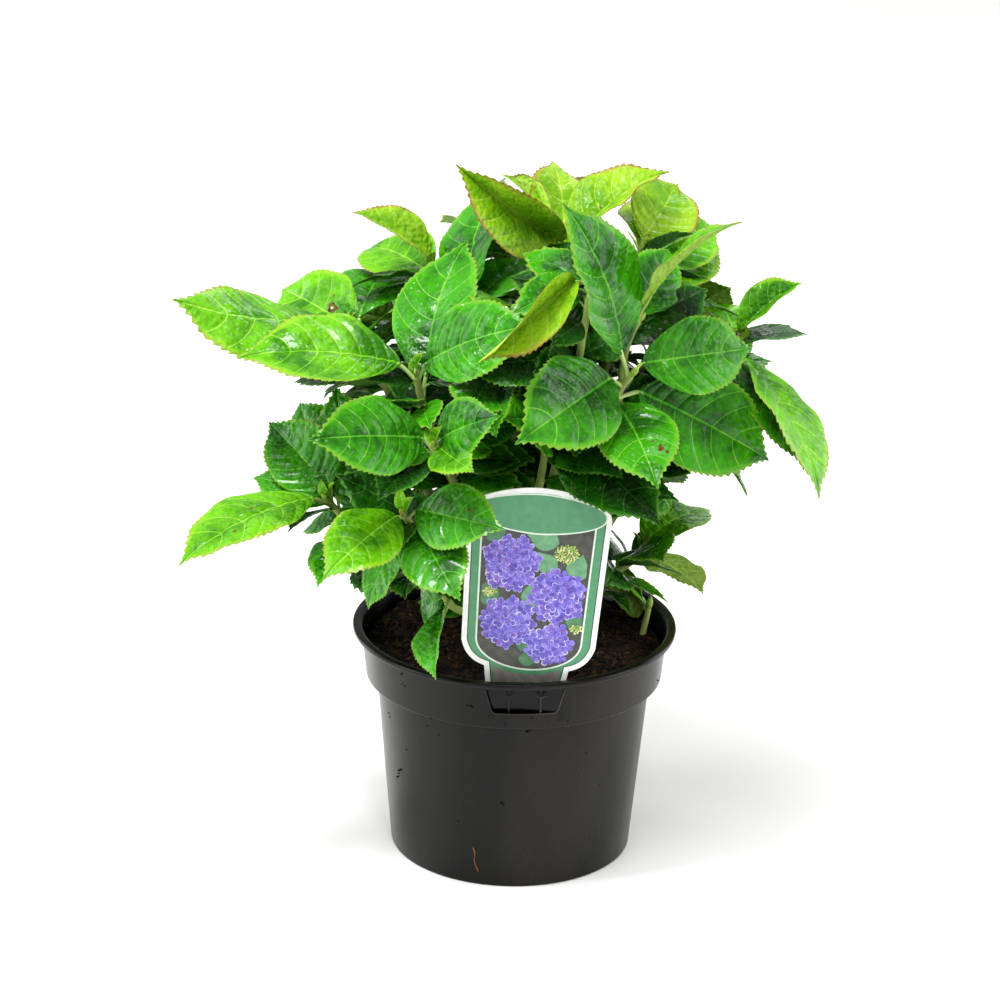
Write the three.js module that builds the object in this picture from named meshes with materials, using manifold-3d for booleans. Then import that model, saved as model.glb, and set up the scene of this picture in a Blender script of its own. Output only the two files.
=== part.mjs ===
// A young mophead hydrangea in a nursery pot, with its plant label.
// Millimetres, +Z up. The origin is the middle of the pot's flat underside, and -Y is the label's side.
// Bearings are degrees from +X towards +Y, rises are degrees above the horizon.
import * as THREE from 'three';
import { mergeVertices } from 'three/addons/utils/BufferGeometryUtils.js';
import Module from 'manifold-3d';

const wasm = await Module();
wasm.setup();

const DEG = Math.PI / 180;
const GAP = 0.3; // clearance between pieces that touch

// Pot: an injection-moulded three-litre container with a stepped collar and a rolled-out lip
const POT_HEIGHT = 138;
const POT_FACETS = 48;
const WALL = 1.6;
const BASE_RADIUS = 71;
const LEDGE_RADIUS = 80.5;
const LEDGE_Z = 107;
const COLLAR_FOOT_RADIUS = 87;
const COLLAR_TOP_RADIUS = 90;
const LIP_RADIUS = 95;
const LIP_THICKNESS = 3.2;
const EDGE_ROUND = 1; // the small chamfers of its foot, collar and lip
const FLOOR_THICKNESS = 2.6;
const DRAIN_HOLES = 8;
const DRAIN_RADIUS = 4.5;
const DRAIN_CIRCLE = 55;
const DRAIN_FACETS = 12;

// Label pocket: a window in the collar with a flat panel and two ribs behind it
const POCKET_X = 6.5;
const POCKET_WIDTH = 46;
const POCKET_BOTTOM = 118;
const POCKET_TOP = 132;
const PANEL_WIDTH = 56;
const PANEL_FRONT = -84.2;
const PANEL_BACK = -82.6;
const PANEL_BOTTOM = 112;
const PANEL_TRIM_RADIUS = COLLAR_TOP_RADIUS - 1; // keeps its corners inside the collar
const PANEL_TRIM_FACETS = 28;
const RIB_PITCH = 18;
const RIB_WIDTH = 1.2;
const RIB_DEPTH = 2;
const RIB_SEAT = 1; // how far a rib runs into the panel and past the window

// Compost, a little below the rim
const COMPOST_Z = 126;
const COMPOST_CROWN = 3; // rise of its middle above its edge
const COMPOST_SHOULDER = [0.6, 0.7]; // shares of its radius and its rise, half way in
const COMPOST_FACETS = 36;

// Label: an arched card on a tongue that is pushed into the compost behind the pocket
const LABEL_HALF_TOP = 40.5;
const LABEL_HALF_FOOT = 38;
const LABEL_SHOULDER = 20; // heights above the pot's rim, along the card
const LABEL_CORNER = 100;
const LABEL_TOP = 116;
const LABEL_THICKNESS = 0.8;
const TONGUE_HALF = 23;
const TONGUE_FOOT_HALF = 19;
const TONGUE_DEPTH = 27;
const NECK_HEIGHT = 5; // where the tongue starts to widen into the card
const NECK_FLARE = 1;
const SHOULDER_BEND = [35, 8]; // control point of the curve from neck to shoulder
const CORNER_START = 4; // how far below a corner's height its curve starts
const CORNER_BEND = 3; // how far above it its control point is
const CORNER_CUT = 6; // how far in and up the corner meets the arch
const ARCH_LIFT = 6; // control point of the arch above its top
const LABEL_CURVE_STEPS = 5;
const LABEL_LEAN = 3.5; // towards +X
const LABEL_Y = -81;

// Woody crown: the short rootstock that all canes spring from
const CROWN_HEIGHT = 26;
const CROWN_RADIUS = 17;
const CROWN_FLARE = 21;
const CROWN_FACETS = 18;

// Where canes leave the crown: the radius of their circle, their height up the crown and their first rise
const ORIGINS = {
  middle: { ring: 0, height: 0.8, rise: 85 },
  top: { ring: 9.5, height: 0.8, rise: 78 },
  side: { ring: 13, height: 0.45, rise: 50 },
};

// Stems and leaves
const BOUGH_FOOT_RADIUS = 2.8;
const BOUGH_TIP_RADIUS = 2.3;
const SHOOT_TIP_RADIUS = 1.5;
const BOUGH_SHARE = 0.5; // part of a cane's length that is bough, before it enters its mass of leaves
const LIMB_SIDES = 5;
const BOUGH_STEPS = 5;
const TWIG_STEPS = 4;
const SHOOT_STEPS = 3;
const FORK_SHARE = 0.62; // where a second shoot forks off its cane
const FORK_GIRTH = 1.2; // its girth there, against its tip's
const FORK_RISE = 30; // how it leaves its cane, and how it arrives at its apex
const FORK_TIP_RISE = 55;
const PETIOLE = 0.16; // share of its blade's length
const PETIOLE_RADIUS = 1.3;
const PETIOLE_LIFT = 45; // how much steeper than its blade a petiole rises
const PETIOLE_STEEPEST = 75;
const PETIOLE_NECK = 0.14; // share of a petiole that tapers into its twig
const PETIOLE_RINGS = 2; // one at its neck and one at the blade's base
const BLADE_STATIONS = 7;
const TWIST_REFINEMENT = 3; // a twisted blade needs that many times more stations
const BLADE_THICKNESS = 2;
const BLADE_WIDTH = 0.33; // half width as a share of length
const BLADE_BEND = 32;
const BLADE_FOLD = 12;
const FACING_OUT = 0.9; // how far a blade turns from facing up to facing out of the crown

// Masses of leaves, each on a cane of its own that leaves the crown's top or side at the bearing of its foot
// and runs to the apex of the mass's first shoot. Further shoots fork off it. A leaf row is: distance below
// the apex, bearing, rise, length, and where they differ from the rule, roll about its midrib, the fold of
// its two halves, and its twist. A shoot with a turn in place of rows bears opposite pairs by the rule.
const MASSES = [
  {
    name: 'left_front', foot: 202, from: 'top', shoots: [
      { apex: [-58, -48, 304], leaves: [[3, 186, 4, 92, -5], [3, 336, 26, 76, 10], [16, 70, 46, 90, 15]] },
      { apex: [-47, -85, 275], leaves: [[3, 212, 9, 74, -35], [3, 298, -1, 42, 10], [6, 314, 30, 56, 20]] },
    ],
  },
  {
    name: 'low_left', foot: 235, from: 'side', shoots: [
      {
        apex: [-63, -75, 231],
        leaves: [[3, 232, -17, 66, -25], [3, 321, 4, 64, 10], [8, 296, -24, 62], [14, 200, -63, 48]],
      },
    ],
  },
  {
    name: 'low_front', foot: 272, from: 'side', shoots: [
      { apex: [-39, -66, 177], leaves: [[3, 267, -31, 54, -10], [3, 115, -33, 40, -35]] },
    ],
  },
  {
    name: 'left_outer', foot: 200, from: 'side', shoots: [
      {
        apex: [-108, -28, 221],
        leaves: [
          [3, 215, -14, 92, -10], [3, 110, 26, 70, 10], [10, 137, 28, 66], [10, 157, 7, 52, -10],
          [35, 255, -16, 62, -15], [35, 121, 57, 80, 25],
        ],
      },
    ],
  },
  {
    name: 'left_back', foot: 172, from: 'side', shoots: [
      {
        apex: [-97, 8, 310],
        leaves: [[3, 199, 12, 100, -32, -20], [3, 78, 5, 84, 35], [12, 127, 4, 80, -15]],
      },
    ],
  },
  {
    name: 'top_left', foot: 145, from: 'top', shoots: [
      { apex: [-51, 35, 342], leaves: [[3, 181, 33, 54, -66, 36], [12, 123, -2, 72, -10]] },
      { apex: [-31, 18, 320], leaves: [[3, 76, 33, 92, 10], [6, 55, 14, 60, 45]] },
    ],
  },
  {
    name: 'top_centre', foot: 55, from: 'top', shoots: [
      {
        apex: [24, 20, 355],
        leaves: [
          [3, 202, 39, 86, -58, 28], [6, 125, 28, 66, 0, 30], [10, 95, 34, 72, -25],
          [6, 27, 32, 76, 20, 35], [30, 158, 52, 65, -50],
        ],
      },
    ],
  },
  {
    name: 'top_right', foot: 15, from: 'top', shoots: [
      {
        apex: [67, 25, 357],
        leaves: [[3, 72, 14, 70], [6, 59, 15, 72, 10], [14, 47, 5, 68, 25], [30, 44, 8, 72, 20]],
      },
    ],
  },
  {
    name: 'right_front', foot: 322, from: 'side', shoots: [
      {
        apex: [62, -48, 308],
        leaves: [
          [3, 187, 65, 96, 5], [3, 26, 0, 72, 40], [10, 233, -10, 88, -15],
          [20, 11, -30, 92, 55], [26, 288, -20, 75, 25],
        ],
      },
      { apex: [66, -30, 334], leaves: [[3, 350, 46, 76, -75, 20], [6, 65, 30, 55, -10]] },
    ],
  },
  {
    name: 'right_outer', foot: 352, from: 'side', shoots: [
      {
        apex: [126, 22, 307],
        leaves: [[3, 26, 33, 48, -11, 45], [16, 315, -41, 74, 20], [10, 304, -38, 98], [3, 105, 12, 40, -35]],
      },
    ],
  },
  {
    name: 'right_low', foot: 18, from: 'side', shoots: [
      {
        apex: [73, 15, 177],
        leaves: [[3, 48, 4, 62, -15], [6, 39, -37, 60, -35], [10, 287, 17, 60, 60], [14, 110, -41, 45, 85]],
      },
    ],
  },
  {
    name: 'inner_front', foot: 335, from: 'top', shoots: [
      {
        apex: [38, -64, 368],
        leaves: [
          [3, 237, -25, 76, 0, 10, 90], [20, 109, 11, 62, -35], [40, 109, 14, 45, -50],
          [60, 60, 0, 60], [60, 200, 0, 62],
        ],
      },
    ],
  },
  {
    name: 'inner_low', foot: 280, from: 'top', shoots: [
      {
        apex: [16, -36, 266],
        leaves: [[3, 335, -36, 84, 20], [3, 250, 22, 70, -30], [8, 320, 8, 62, 15], [22, 60, 5, 60]],
      },
    ],
  },
  {
    name: 'inner_left', foot: 240, from: 'top', shoots: [
      {
        apex: [-12, -30, 299],
        leaves: [
          [3, 261, -9, 62, -15], [3, 294, 6, 60, 25], [8, 106, 0, 60], [24, 15, 5, 60], [24, 195, 5, 60],
        ],
      },
    ],
  },
  { name: 'centre', foot: 0, from: 'middle', shoots: [{ apex: [6, 6, 318], turn: 60 }] },
  { name: 'top_back', foot: 95, from: 'top', shoots: [{ apex: [0, 70, 345], turn: 30 }] },
  { name: 'back_left', foot: 135, from: 'side', shoots: [{ apex: [-72, 88, 290], turn: 30 }] },
  { name: 'back_centre', foot: 88, from: 'side', shoots: [{ apex: [-8, 120, 290], turn: 60 }] },
  { name: 'back_right', foot: 48, from: 'side', shoots: [{ apex: [80, 85, 285], turn: 135 }] },
  { name: 'low_back_left', foot: 112, from: 'side', shoots: [{ apex: [-55, 105, 205], turn: 60 }] },
  { name: 'low_back_right', foot: 66, from: 'side', shoots: [{ apex: [42, 112, 200], turn: 40 }] },
];

// Opposite pairs, each a quarter turn from the last, larger and lower down the shoot, with a seeded sway
const PAIRS = 3;
const FIRST_PAIR = 3;
const PAIR_DROP = 12;
const PAIR_DROP_GROWTH = 0.25;
const PAIR_RISES = [28, 8, -12];
const PAIR_LENGTHS = [62, 80, 88];
const SWAY = 8;

// Turns of bearing and rise that a leaf tries in order until it is clear of its neighbours
const SWINGS = [
  [0, 0], [5, 3], [-5, 3], [5, -5], [-5, -5], [10, 6], [-10, 6], [12, -10], [-12, -10],
  [20, 0], [-20, 0], [20, 15], [-20, 15], [25, -20], [-25, -20],
];

// A basal shoot comes up through the compost by itself, near the pot's wall
const BASAL = {
  foot: [76, 10, 127.3], apex: [79, 12, 143], rise: 80, leaves: [[3, 117, -8, 50, 45], [3, 130, 25, 22]],
};

const SURFACES = {
  leaf: { color: 0x3f9a22, roughness: 0.35, metalness: 0 },
  wood: { color: 0x86904a, roughness: 0.7, metalness: 0 },
  pot: { color: 0x23201e, roughness: 0.4, metalness: 0 },
  compost: { color: 0x2a1c14, roughness: 1, metalness: 0 },
  label: { color: 0x4b8a63, roughness: 0.3, metalness: 0 },
};

function direction(bearing, rise) {
  const level = Math.cos(rise * DEG);
  return new THREE.Vector3(
    Math.cos(bearing * DEG) * level,
    Math.sin(bearing * DEG) * level,
    Math.sin(rise * DEG),
  );
}

// A closed mesh made a solid, with its faces turned outwards
function solidOf(geometry) {
  const bare = geometry.clone();
  bare.deleteAttribute('normal');
  bare.deleteAttribute('uv');
  const merged = mergeVertices(bare, 1e-4);
  const corners = Float32Array.from(merged.attributes.position.array);
  const triangles = Uint32Array.from(merged.index.array);
  const make = (triVerts) => new wasm.Manifold(
    new wasm.Mesh({ numProp: 3, vertProperties: corners, triVerts }),
  );
  const solid = make(triangles);
  return solid.volume() < 0 ? make(triangles.reverse()) : solid;
}

function geometryOf(solid) {
  const mesh = solid.getMesh();
  const geometry = new THREE.BufferGeometry();
  geometry.setAttribute('position', new THREE.BufferAttribute(mesh.vertProperties, 3));
  geometry.setIndex(new THREE.BufferAttribute(mesh.triVerts, 1));
  geometry.computeVertexNormals();
  return geometry;
}

function boxSolid(low, high) {
  const size = high.map((value, axis) => value - low[axis]);
  const middle = high.map((value, axis) => (value + low[axis]) / 2);
  return solidOf(new THREE.BoxGeometry(...size).translate(...middle));
}

// A solid of revolution about Z, from [radius, z] points
function turned(profile, facets) {
  const points = profile.map(([radius, z]) => new THREE.Vector2(radius, z));
  return solidOf(new THREE.LatheGeometry(points, facets).rotateX(Math.PI / 2));
}

// Cubic curve from a cane's foot to a shoot's apex, and what lies along it
function stemCurve(foot, apex, startRise, endRise) {
  const span = foot.distanceTo(apex);
  const bearing = Math.atan2(apex.y - foot.y, apex.x - foot.x) / DEG;
  const reach = span / 3;
  const leave = foot.clone().addScaledVector(direction(bearing, startRise), reach);
  const arrive = apex.clone().addScaledVector(direction(bearing, endRise), -reach);
  const curve = new THREE.CubicBezierCurve3(foot, leave, arrive, apex);
  curve.span = span;
  return curve;
}

// A tapering limb: a cylinder whose rings are carried along a stretch of a curve
function limb(curve, from, to, startRadius, endRadius, sides, steps) {
  const geometry = new THREE.CylinderGeometry(1, 1, 1, sides, steps);
  const position = geometry.attributes.position;
  const chord = curve.getPoint(to).sub(curve.getPoint(from));
  const side = new THREE.Vector3(-chord.y, chord.x, 0);
  if (side.length() < 0.05 * chord.length()) side.set(1, 0, 0);
  for (let i = 0; i < position.count; i += 1) {
    const along = position.getY(i) + 0.5;
    const t = from + (to - from) * along;
    const tangent = curve.getTangent(t);
    const level = side.clone().addScaledVector(tangent, -side.dot(tangent)).normalize();
    const upright = tangent.clone().cross(level);
    const radius = startRadius + (endRadius - startRadius) * along;
    const point = curve.getPoint(t)
      .addScaledVector(level, position.getX(i) * radius)
      .addScaledVector(upright, position.getZ(i) * radius);
    position.setXYZ(i, point.x, point.y, point.z);
  }
  return solidOf(geometry);
}

// Half width of a blade, as a share of its greatest, from its base to its drawn-out tip
function bladeOutline(t) {
  return Math.sin(Math.PI * t ** 0.82) ** (0.8 + 0.55 * t);
}

// The midrib is an arc over the chord from base to tip, and the blade faces up and out of the crown
function bladeFrame(base, bearing, rise, length, roll, twist) {
  const along = direction(bearing, rise);
  const middle = base.clone().addScaledVector(along, length / 2);
  const outward = new THREE.Vector3(middle.x, middle.y, 0).normalize();
  const face = new THREE.Vector3(0, 0, 1).addScaledVector(outward, FACING_OUT);
  face.addScaledVector(along, -face.dot(along)).normalize();
  face.applyAxisAngle(along, roll * DEG);
  const side = along.clone().cross(face);
  return (t) => {
    const half = BLADE_BEND * DEG / 2;
    const angle = half * (1 - 2 * t);
    const scale = length / (2 * Math.sin(half));
    const point = base.clone()
      .addScaledVector(along, (Math.sin(half) - Math.sin(angle)) * scale)
      .addScaledVector(face, (Math.cos(angle) - Math.cos(half)) * scale);
    const tangent = along.clone().multiplyScalar(Math.cos(angle)).addScaledVector(face, Math.sin(angle));
    const normal = side.clone().cross(tangent).applyAxisAngle(tangent, twist * t * DEG);
    return { point, normal, side: tangent.clone().cross(normal) };
  };
}

// A leaf is one sphere of four meridians, drawn out from the twig's axis along the petiole and pressed from
// the blade's base on into a thin folded lens: two edges, a top and an underside
function leaf(curve, [below, bearing, rise, length, roll = 0, fold = BLADE_FOLD, twist = 0]) {
  const node = curve.getPoint(1 - below / curve.span);
  const start = direction(bearing, Math.min(rise + PETIOLE_LIFT, PETIOLE_STEEPEST));
  const base = node.clone().addScaledVector(start, PETIOLE * length);
  const frame = bladeFrame(base, bearing, rise, length, roll, twist);
  const stations = BLADE_STATIONS * (twist === 0 ? 1 : TWIST_REFINEMENT);
  const first = frame(0);
  const bend = new THREE.Quaternion().setFromUnitVectors(first.normal.clone().cross(first.side), start);
  const section = (ring) => {
    if (ring > PETIOLE_RINGS) return frame((ring - PETIOLE_RINGS) / stations);
    const turn = new THREE.Quaternion().slerp(bend, 1 / Math.max(ring, 1));
    return {
      point: node.clone().lerp(base, [0, PETIOLE_NECK, 1][ring]),
      normal: first.normal.clone().applyQuaternion(turn),
      side: first.side.clone().applyQuaternion(turn),
    };
  };
  const rings = PETIOLE_RINGS + stations;
  const geometry = new THREE.SphereGeometry(1, 4, rings);
  const position = geometry.attributes.position;
  for (let i = 0; i < position.count; i += 1) {
    const ring = Math.round(Math.acos(THREE.MathUtils.clamp(position.getY(i), -1, 1)) / Math.PI * rings);
    const girth = ring > 0 && ring < rings ? Math.hypot(position.getX(i), position.getZ(i)) : Infinity;
    const t = Math.max(0, (ring - PETIOLE_RINGS) / stations);
    const halfWidth = Math.max(BLADE_WIDTH * length * bladeOutline(t), PETIOLE_RADIUS * (1 - t));
    const across = halfWidth * position.getX(i) / girth;
    const over = BLADE_THICKNESS / 2 * position.getZ(i) / girth;
    const { point, normal, side } = section(ring);
    point.addScaledVector(side, across * Math.cos(fold * DEG));
    point.addScaledVector(normal, Math.abs(across) * Math.sin(fold * DEG) + over);
    position.setXYZ(i, point.x, point.y, point.z);
  }
  return solidOf(geometry);
}

function potSolid() {
  const lipBottom = POT_HEIGHT - LIP_THICKNESS;
  const outside = [
    [0, 0], [BASE_RADIUS - EDGE_ROUND, 0], [BASE_RADIUS, EDGE_ROUND], [LEDGE_RADIUS, LEDGE_Z],
    [COLLAR_FOOT_RADIUS - EDGE_ROUND, LEDGE_Z], [COLLAR_FOOT_RADIUS, LEDGE_Z + EDGE_ROUND],
    [COLLAR_TOP_RADIUS, lipBottom], [LIP_RADIUS - EDGE_ROUND, lipBottom],
    [LIP_RADIUS, lipBottom + EDGE_ROUND],
    [LIP_RADIUS, POT_HEIGHT - EDGE_ROUND], [LIP_RADIUS - EDGE_ROUND, POT_HEIGHT],
  ];
  const inside = [
    [COLLAR_TOP_RADIUS, POT_HEIGHT], [COLLAR_TOP_RADIUS - WALL, POT_HEIGHT - WALL],
    [COLLAR_FOOT_RADIUS - WALL, LEDGE_Z + WALL], [LEDGE_RADIUS - WALL, LEDGE_Z - WALL],
    [BASE_RADIUS - WALL, FLOOR_THICKNESS], [0, FLOOR_THICKNESS],
  ];
  let pot = turned([...outside, ...inside], POT_FACETS);
  const window = boxSolid(
    [POCKET_X - POCKET_WIDTH / 2, -LIP_RADIUS, POCKET_BOTTOM],
    [POCKET_X + POCKET_WIDTH / 2, PANEL_BACK, POCKET_TOP],
  );
  pot = pot.subtract(window).add(panelSolid(0));
  for (const side of [-1, 1]) {
    const x = POCKET_X + side * RIB_PITCH / 2;
    pot = pot.add(boxSolid(
      [x - RIB_WIDTH / 2, PANEL_FRONT - RIB_DEPTH, POCKET_BOTTOM - RIB_SEAT],
      [x + RIB_WIDTH / 2, PANEL_FRONT + RIB_SEAT, POCKET_TOP + RIB_SEAT],
    ));
  }
  for (let hole = 0; hole < DRAIN_HOLES; hole += 1) {
    const at = direction((hole + 0.5) * 360 / DRAIN_HOLES, 0).multiplyScalar(DRAIN_CIRCLE);
    const drill = new THREE.CylinderGeometry(DRAIN_RADIUS, DRAIN_RADIUS, 4 * FLOOR_THICKNESS, DRAIN_FACETS);
    pot = pot.subtract(solidOf(drill.rotateX(Math.PI / 2).translate(at.x, at.y, 0)));
  }
  return pot;
}

// The flat panel behind the window, trimmed where its corners would come through the collar
function panelSolid(margin) {
  const trim = [[0, 0], [PANEL_TRIM_RADIUS, 0], [PANEL_TRIM_RADIUS, POT_HEIGHT], [0, POT_HEIGHT]];
  return boxSolid(
    [POCKET_X - PANEL_WIDTH / 2 - margin, PANEL_FRONT - margin, PANEL_BOTTOM - margin],
    [POCKET_X + PANEL_WIDTH / 2 + margin, PANEL_BACK + margin, POT_HEIGHT - LIP_THICKNESS],
  ).intersect(turned(trim, PANEL_TRIM_FACETS));
}

// The card's outline in its own plane: x across, y up, from the rim's height
function labelOutline() {
  const neck = [TONGUE_HALF + NECK_FLARE, NECK_HEIGHT];
  const [shoulderX, shoulderY] = SHOULDER_BEND;
  const corner = [LABEL_HALF_TOP, LABEL_CORNER - CORNER_START];
  const cornerBend = [LABEL_HALF_TOP, LABEL_CORNER + CORNER_BEND];
  const archEnd = [LABEL_HALF_TOP - CORNER_CUT, LABEL_CORNER + CORNER_CUT];
  const outline = new THREE.Shape();
  outline.moveTo(-TONGUE_FOOT_HALF, -TONGUE_DEPTH);
  outline.lineTo(TONGUE_FOOT_HALF, -TONGUE_DEPTH);
  outline.lineTo(neck[0], neck[1]);
  outline.quadraticCurveTo(shoulderX, shoulderY, LABEL_HALF_FOOT, LABEL_SHOULDER);
  outline.lineTo(corner[0], corner[1]);
  outline.quadraticCurveTo(cornerBend[0], cornerBend[1], archEnd[0], archEnd[1]);
  outline.quadraticCurveTo(0, LABEL_TOP + ARCH_LIFT, -archEnd[0], archEnd[1]);
  outline.quadraticCurveTo(-cornerBend[0], cornerBend[1], -corner[0], corner[1]);
  outline.lineTo(-LABEL_HALF_FOOT, LABEL_SHOULDER);
  outline.quadraticCurveTo(-shoulderX, shoulderY, -neck[0], neck[1]);
  outline.closePath();
  return outline;
}

// The card stands on edge, leans towards +X, and is grown by a margin to cut its own slot
function labelSolid(margin) {
  const depth = LABEL_THICKNESS + 2 * margin;
  const curveSegments = LABEL_CURVE_STEPS;
  const card = new THREE.ExtrudeGeometry(labelOutline(), { depth, bevelEnabled: false, curveSegments });
  card.scale(1 + margin / TONGUE_HALF, 1 + margin / TONGUE_DEPTH, 1);
  card.rotateX(Math.PI / 2).rotateY(LABEL_LEAN * DEG);
  card.translate(POCKET_X, LABEL_Y + depth / 2, POT_HEIGHT);
  return solidOf(card);
}

function compostSolid() {
  const profile = [
    [0, FLOOR_THICKNESS + GAP], [BASE_RADIUS - WALL - GAP, FLOOR_THICKNESS + GAP],
    [LEDGE_RADIUS - WALL - GAP, LEDGE_Z - WALL], [COLLAR_FOOT_RADIUS - WALL - GAP, LEDGE_Z + WALL + GAP],
    [COLLAR_FOOT_RADIUS - WALL, COMPOST_Z],
    [COLLAR_FOOT_RADIUS * COMPOST_SHOULDER[0], COMPOST_Z + COMPOST_CROWN * COMPOST_SHOULDER[1]],
    [0, COMPOST_Z + COMPOST_CROWN],
  ];
  return turned(profile, COMPOST_FACETS).subtract(panelSolid(GAP)).subtract(labelSolid(GAP));
}

// The rootstock rises from a flat cut just over the compost, flared at its foot and knobbly on top
function crownSolid(margin) {
  const foot = COMPOST_Z + COMPOST_CROWN + GAP;
  const profile = [
    [0, foot - margin], [CROWN_FLARE + margin, foot - margin], [CROWN_FLARE - 2 + margin, foot + 5],
    [CROWN_RADIUS + margin, foot + 12], [CROWN_RADIUS - 1 + margin, foot + 20],
    [CROWN_RADIUS * 0.75, foot + CROWN_HEIGHT + margin], [0, foot + CROWN_HEIGHT + 1 + margin],
  ];
  return turned(profile, CROWN_FACETS);
}

// A cane leaves the crown's top steeply, or its side on a slant, and arrives at its apex with the same rise
function caneOf({ foot, from, shoots }) {
  const { ring, height, rise } = ORIGINS[from];
  const start = direction(foot, 0).multiplyScalar(ring);
  start.z = COMPOST_Z + COMPOST_CROWN + CROWN_HEIGHT * height;
  return stemCurve(start, new THREE.Vector3(...shoots[0].apex), rise, rise);
}

// The twigs of a mass: its cane from the bough's tip to the apex, and the shoots that fork off it
function growTwigs(mass) {
  const cane = caneOf(mass);
  const start = BOUGH_SHARE + GAP / cane.span;
  const curves = [cane];
  let solid = limb(cane, start, 1, BOUGH_TIP_RADIUS, SHOOT_TIP_RADIUS, LIMB_SIDES, TWIG_STEPS);
  for (const { apex } of mass.shoots.slice(1)) {
    const fork = cane.getPoint(FORK_SHARE);
    const curve = stemCurve(fork, new THREE.Vector3(...apex), FORK_RISE, FORK_TIP_RISE);
    const girth = SHOOT_TIP_RADIUS * FORK_GIRTH;
    solid = solid.add(limb(curve, 0, 1, girth, SHOOT_TIP_RADIUS, LIMB_SIDES, SHOOT_STEPS));
    curves.push(curve);
  }
  return { curves, solid };
}

// Park and Miller's generator: the same seed gives the same leaves
function seeded(seed) {
  let state = seed + 1;
  return (spread) => {
    state = (state * 48271) % 2147483647;
    return spread * (2 * state / 2147483647 - 1);
  };
}

function pairedRows(turn) {
  const sway = seeded(turn);
  const rows = [];
  for (let pair = 0; pair < PAIRS; pair += 1) {
    for (const half of [0, 180]) {
      rows.push([
        FIRST_PAIR + PAIR_DROP * pair * (1 + pair * PAIR_DROP_GROWTH),
        turn + 90 * pair + half + sway(SWAY),
        PAIR_RISES[pair] + sway(SWAY),
        PAIR_LENGTHS[pair] + sway(SWAY),
      ]);
    }
  }
  return rows;
}

function boughSolid(mass, crown) {
  const cane = caneOf(mass);
  const bough = limb(cane, 0, BOUGH_SHARE, BOUGH_FOOT_RADIUS, BOUGH_TIP_RADIUS, LIMB_SIDES, BOUGH_STEPS);
  return bough.subtract(crown);
}

// A leaf grows where its row says. Where that touches what already stands there it swings aside a little,
// and where no swing is clear it is left out.
function growLeaf(curve, row, others) {
  for (const [bearing, rise] of SWINGS) {
    const [below, ...rest] = row;
    const swung = [below, rest[0] + bearing, rest[1] + rise, ...rest.slice(2)];
    const solid = leaf(curve, swung);
    if (others.every((other) => solid.intersect(other).isEmpty())) return solid;
  }
  return null;
}

function basalSolid() {
  const [foot, apex] = [BASAL.foot, BASAL.apex].map((place) => new THREE.Vector3(...place));
  const curve = stemCurve(foot, apex, BASAL.rise, BASAL.rise);
  let solid = limb(curve, 0, 1, SHOOT_TIP_RADIUS, SHOOT_TIP_RADIUS, LIMB_SIDES, SHOOT_STEPS);
  for (const row of BASAL.leaves) solid = solid.add(leaf(curve, row));
  return solid;
}

const plant = new THREE.Group();

function addNode(name, solid, surface) {
  const mesh = new THREE.Mesh(geometryOf(solid), new THREE.MeshStandardMaterial(surface));
  mesh.name = name;
  plant.add(mesh);
}

addNode('pot', potSolid(), SURFACES.pot);
addNode('compost', compostSolid(), SURFACES.compost);
addNode('plant_label', labelSolid(0), SURFACES.label);
addNode('crown', crownSolid(0), SURFACES.wood);

const crownClearance = crownSolid(GAP);
const boughs = MASSES.map((mass) => boughSolid(mass, crownClearance));
const growth = MASSES.map(growTwigs);
const standing = [potSolid(), labelSolid(0), ...boughs];
MASSES.forEach((mass, index) => {
  const own = growth[index];
  const others = [...standing, ...growth.filter((other) => other !== own).map((other) => other.solid)];
  mass.shoots.forEach((shoot, number) => {
    for (const row of shoot.leaves ?? pairedRows(shoot.turn)) {
      const grown = growLeaf(own.curves[number], row, others);
      if (grown) own.solid = own.solid.add(grown);
    }
  });
  addNode(`bough_${mass.name}`, boughs[index], SURFACES.wood);
  addNode(`foliage_${mass.name}`, own.solid, SURFACES.leaf);
});
addNode('basal_shoot', basalSolid(), SURFACES.leaf);

export default plant;
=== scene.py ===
import math
import random
from collections import namedtuple

import bpy
import numpy as np
from mathutils import Matrix, Vector, kdtree, noise
from mathutils.bvhtree import BVHTree


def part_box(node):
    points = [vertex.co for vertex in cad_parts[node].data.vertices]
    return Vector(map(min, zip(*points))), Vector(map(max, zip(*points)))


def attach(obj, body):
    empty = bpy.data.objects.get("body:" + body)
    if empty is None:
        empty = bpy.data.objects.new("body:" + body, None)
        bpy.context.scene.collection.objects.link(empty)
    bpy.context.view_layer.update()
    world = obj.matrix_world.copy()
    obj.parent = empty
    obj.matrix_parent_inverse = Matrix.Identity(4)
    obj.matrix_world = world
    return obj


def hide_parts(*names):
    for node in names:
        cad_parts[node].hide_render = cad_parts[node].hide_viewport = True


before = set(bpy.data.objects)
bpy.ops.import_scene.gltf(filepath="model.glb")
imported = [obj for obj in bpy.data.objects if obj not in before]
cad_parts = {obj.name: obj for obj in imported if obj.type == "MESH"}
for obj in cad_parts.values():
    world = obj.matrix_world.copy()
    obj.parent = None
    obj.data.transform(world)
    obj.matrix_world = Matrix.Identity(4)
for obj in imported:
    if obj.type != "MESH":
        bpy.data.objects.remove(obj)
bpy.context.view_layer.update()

MM = 0.001


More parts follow.
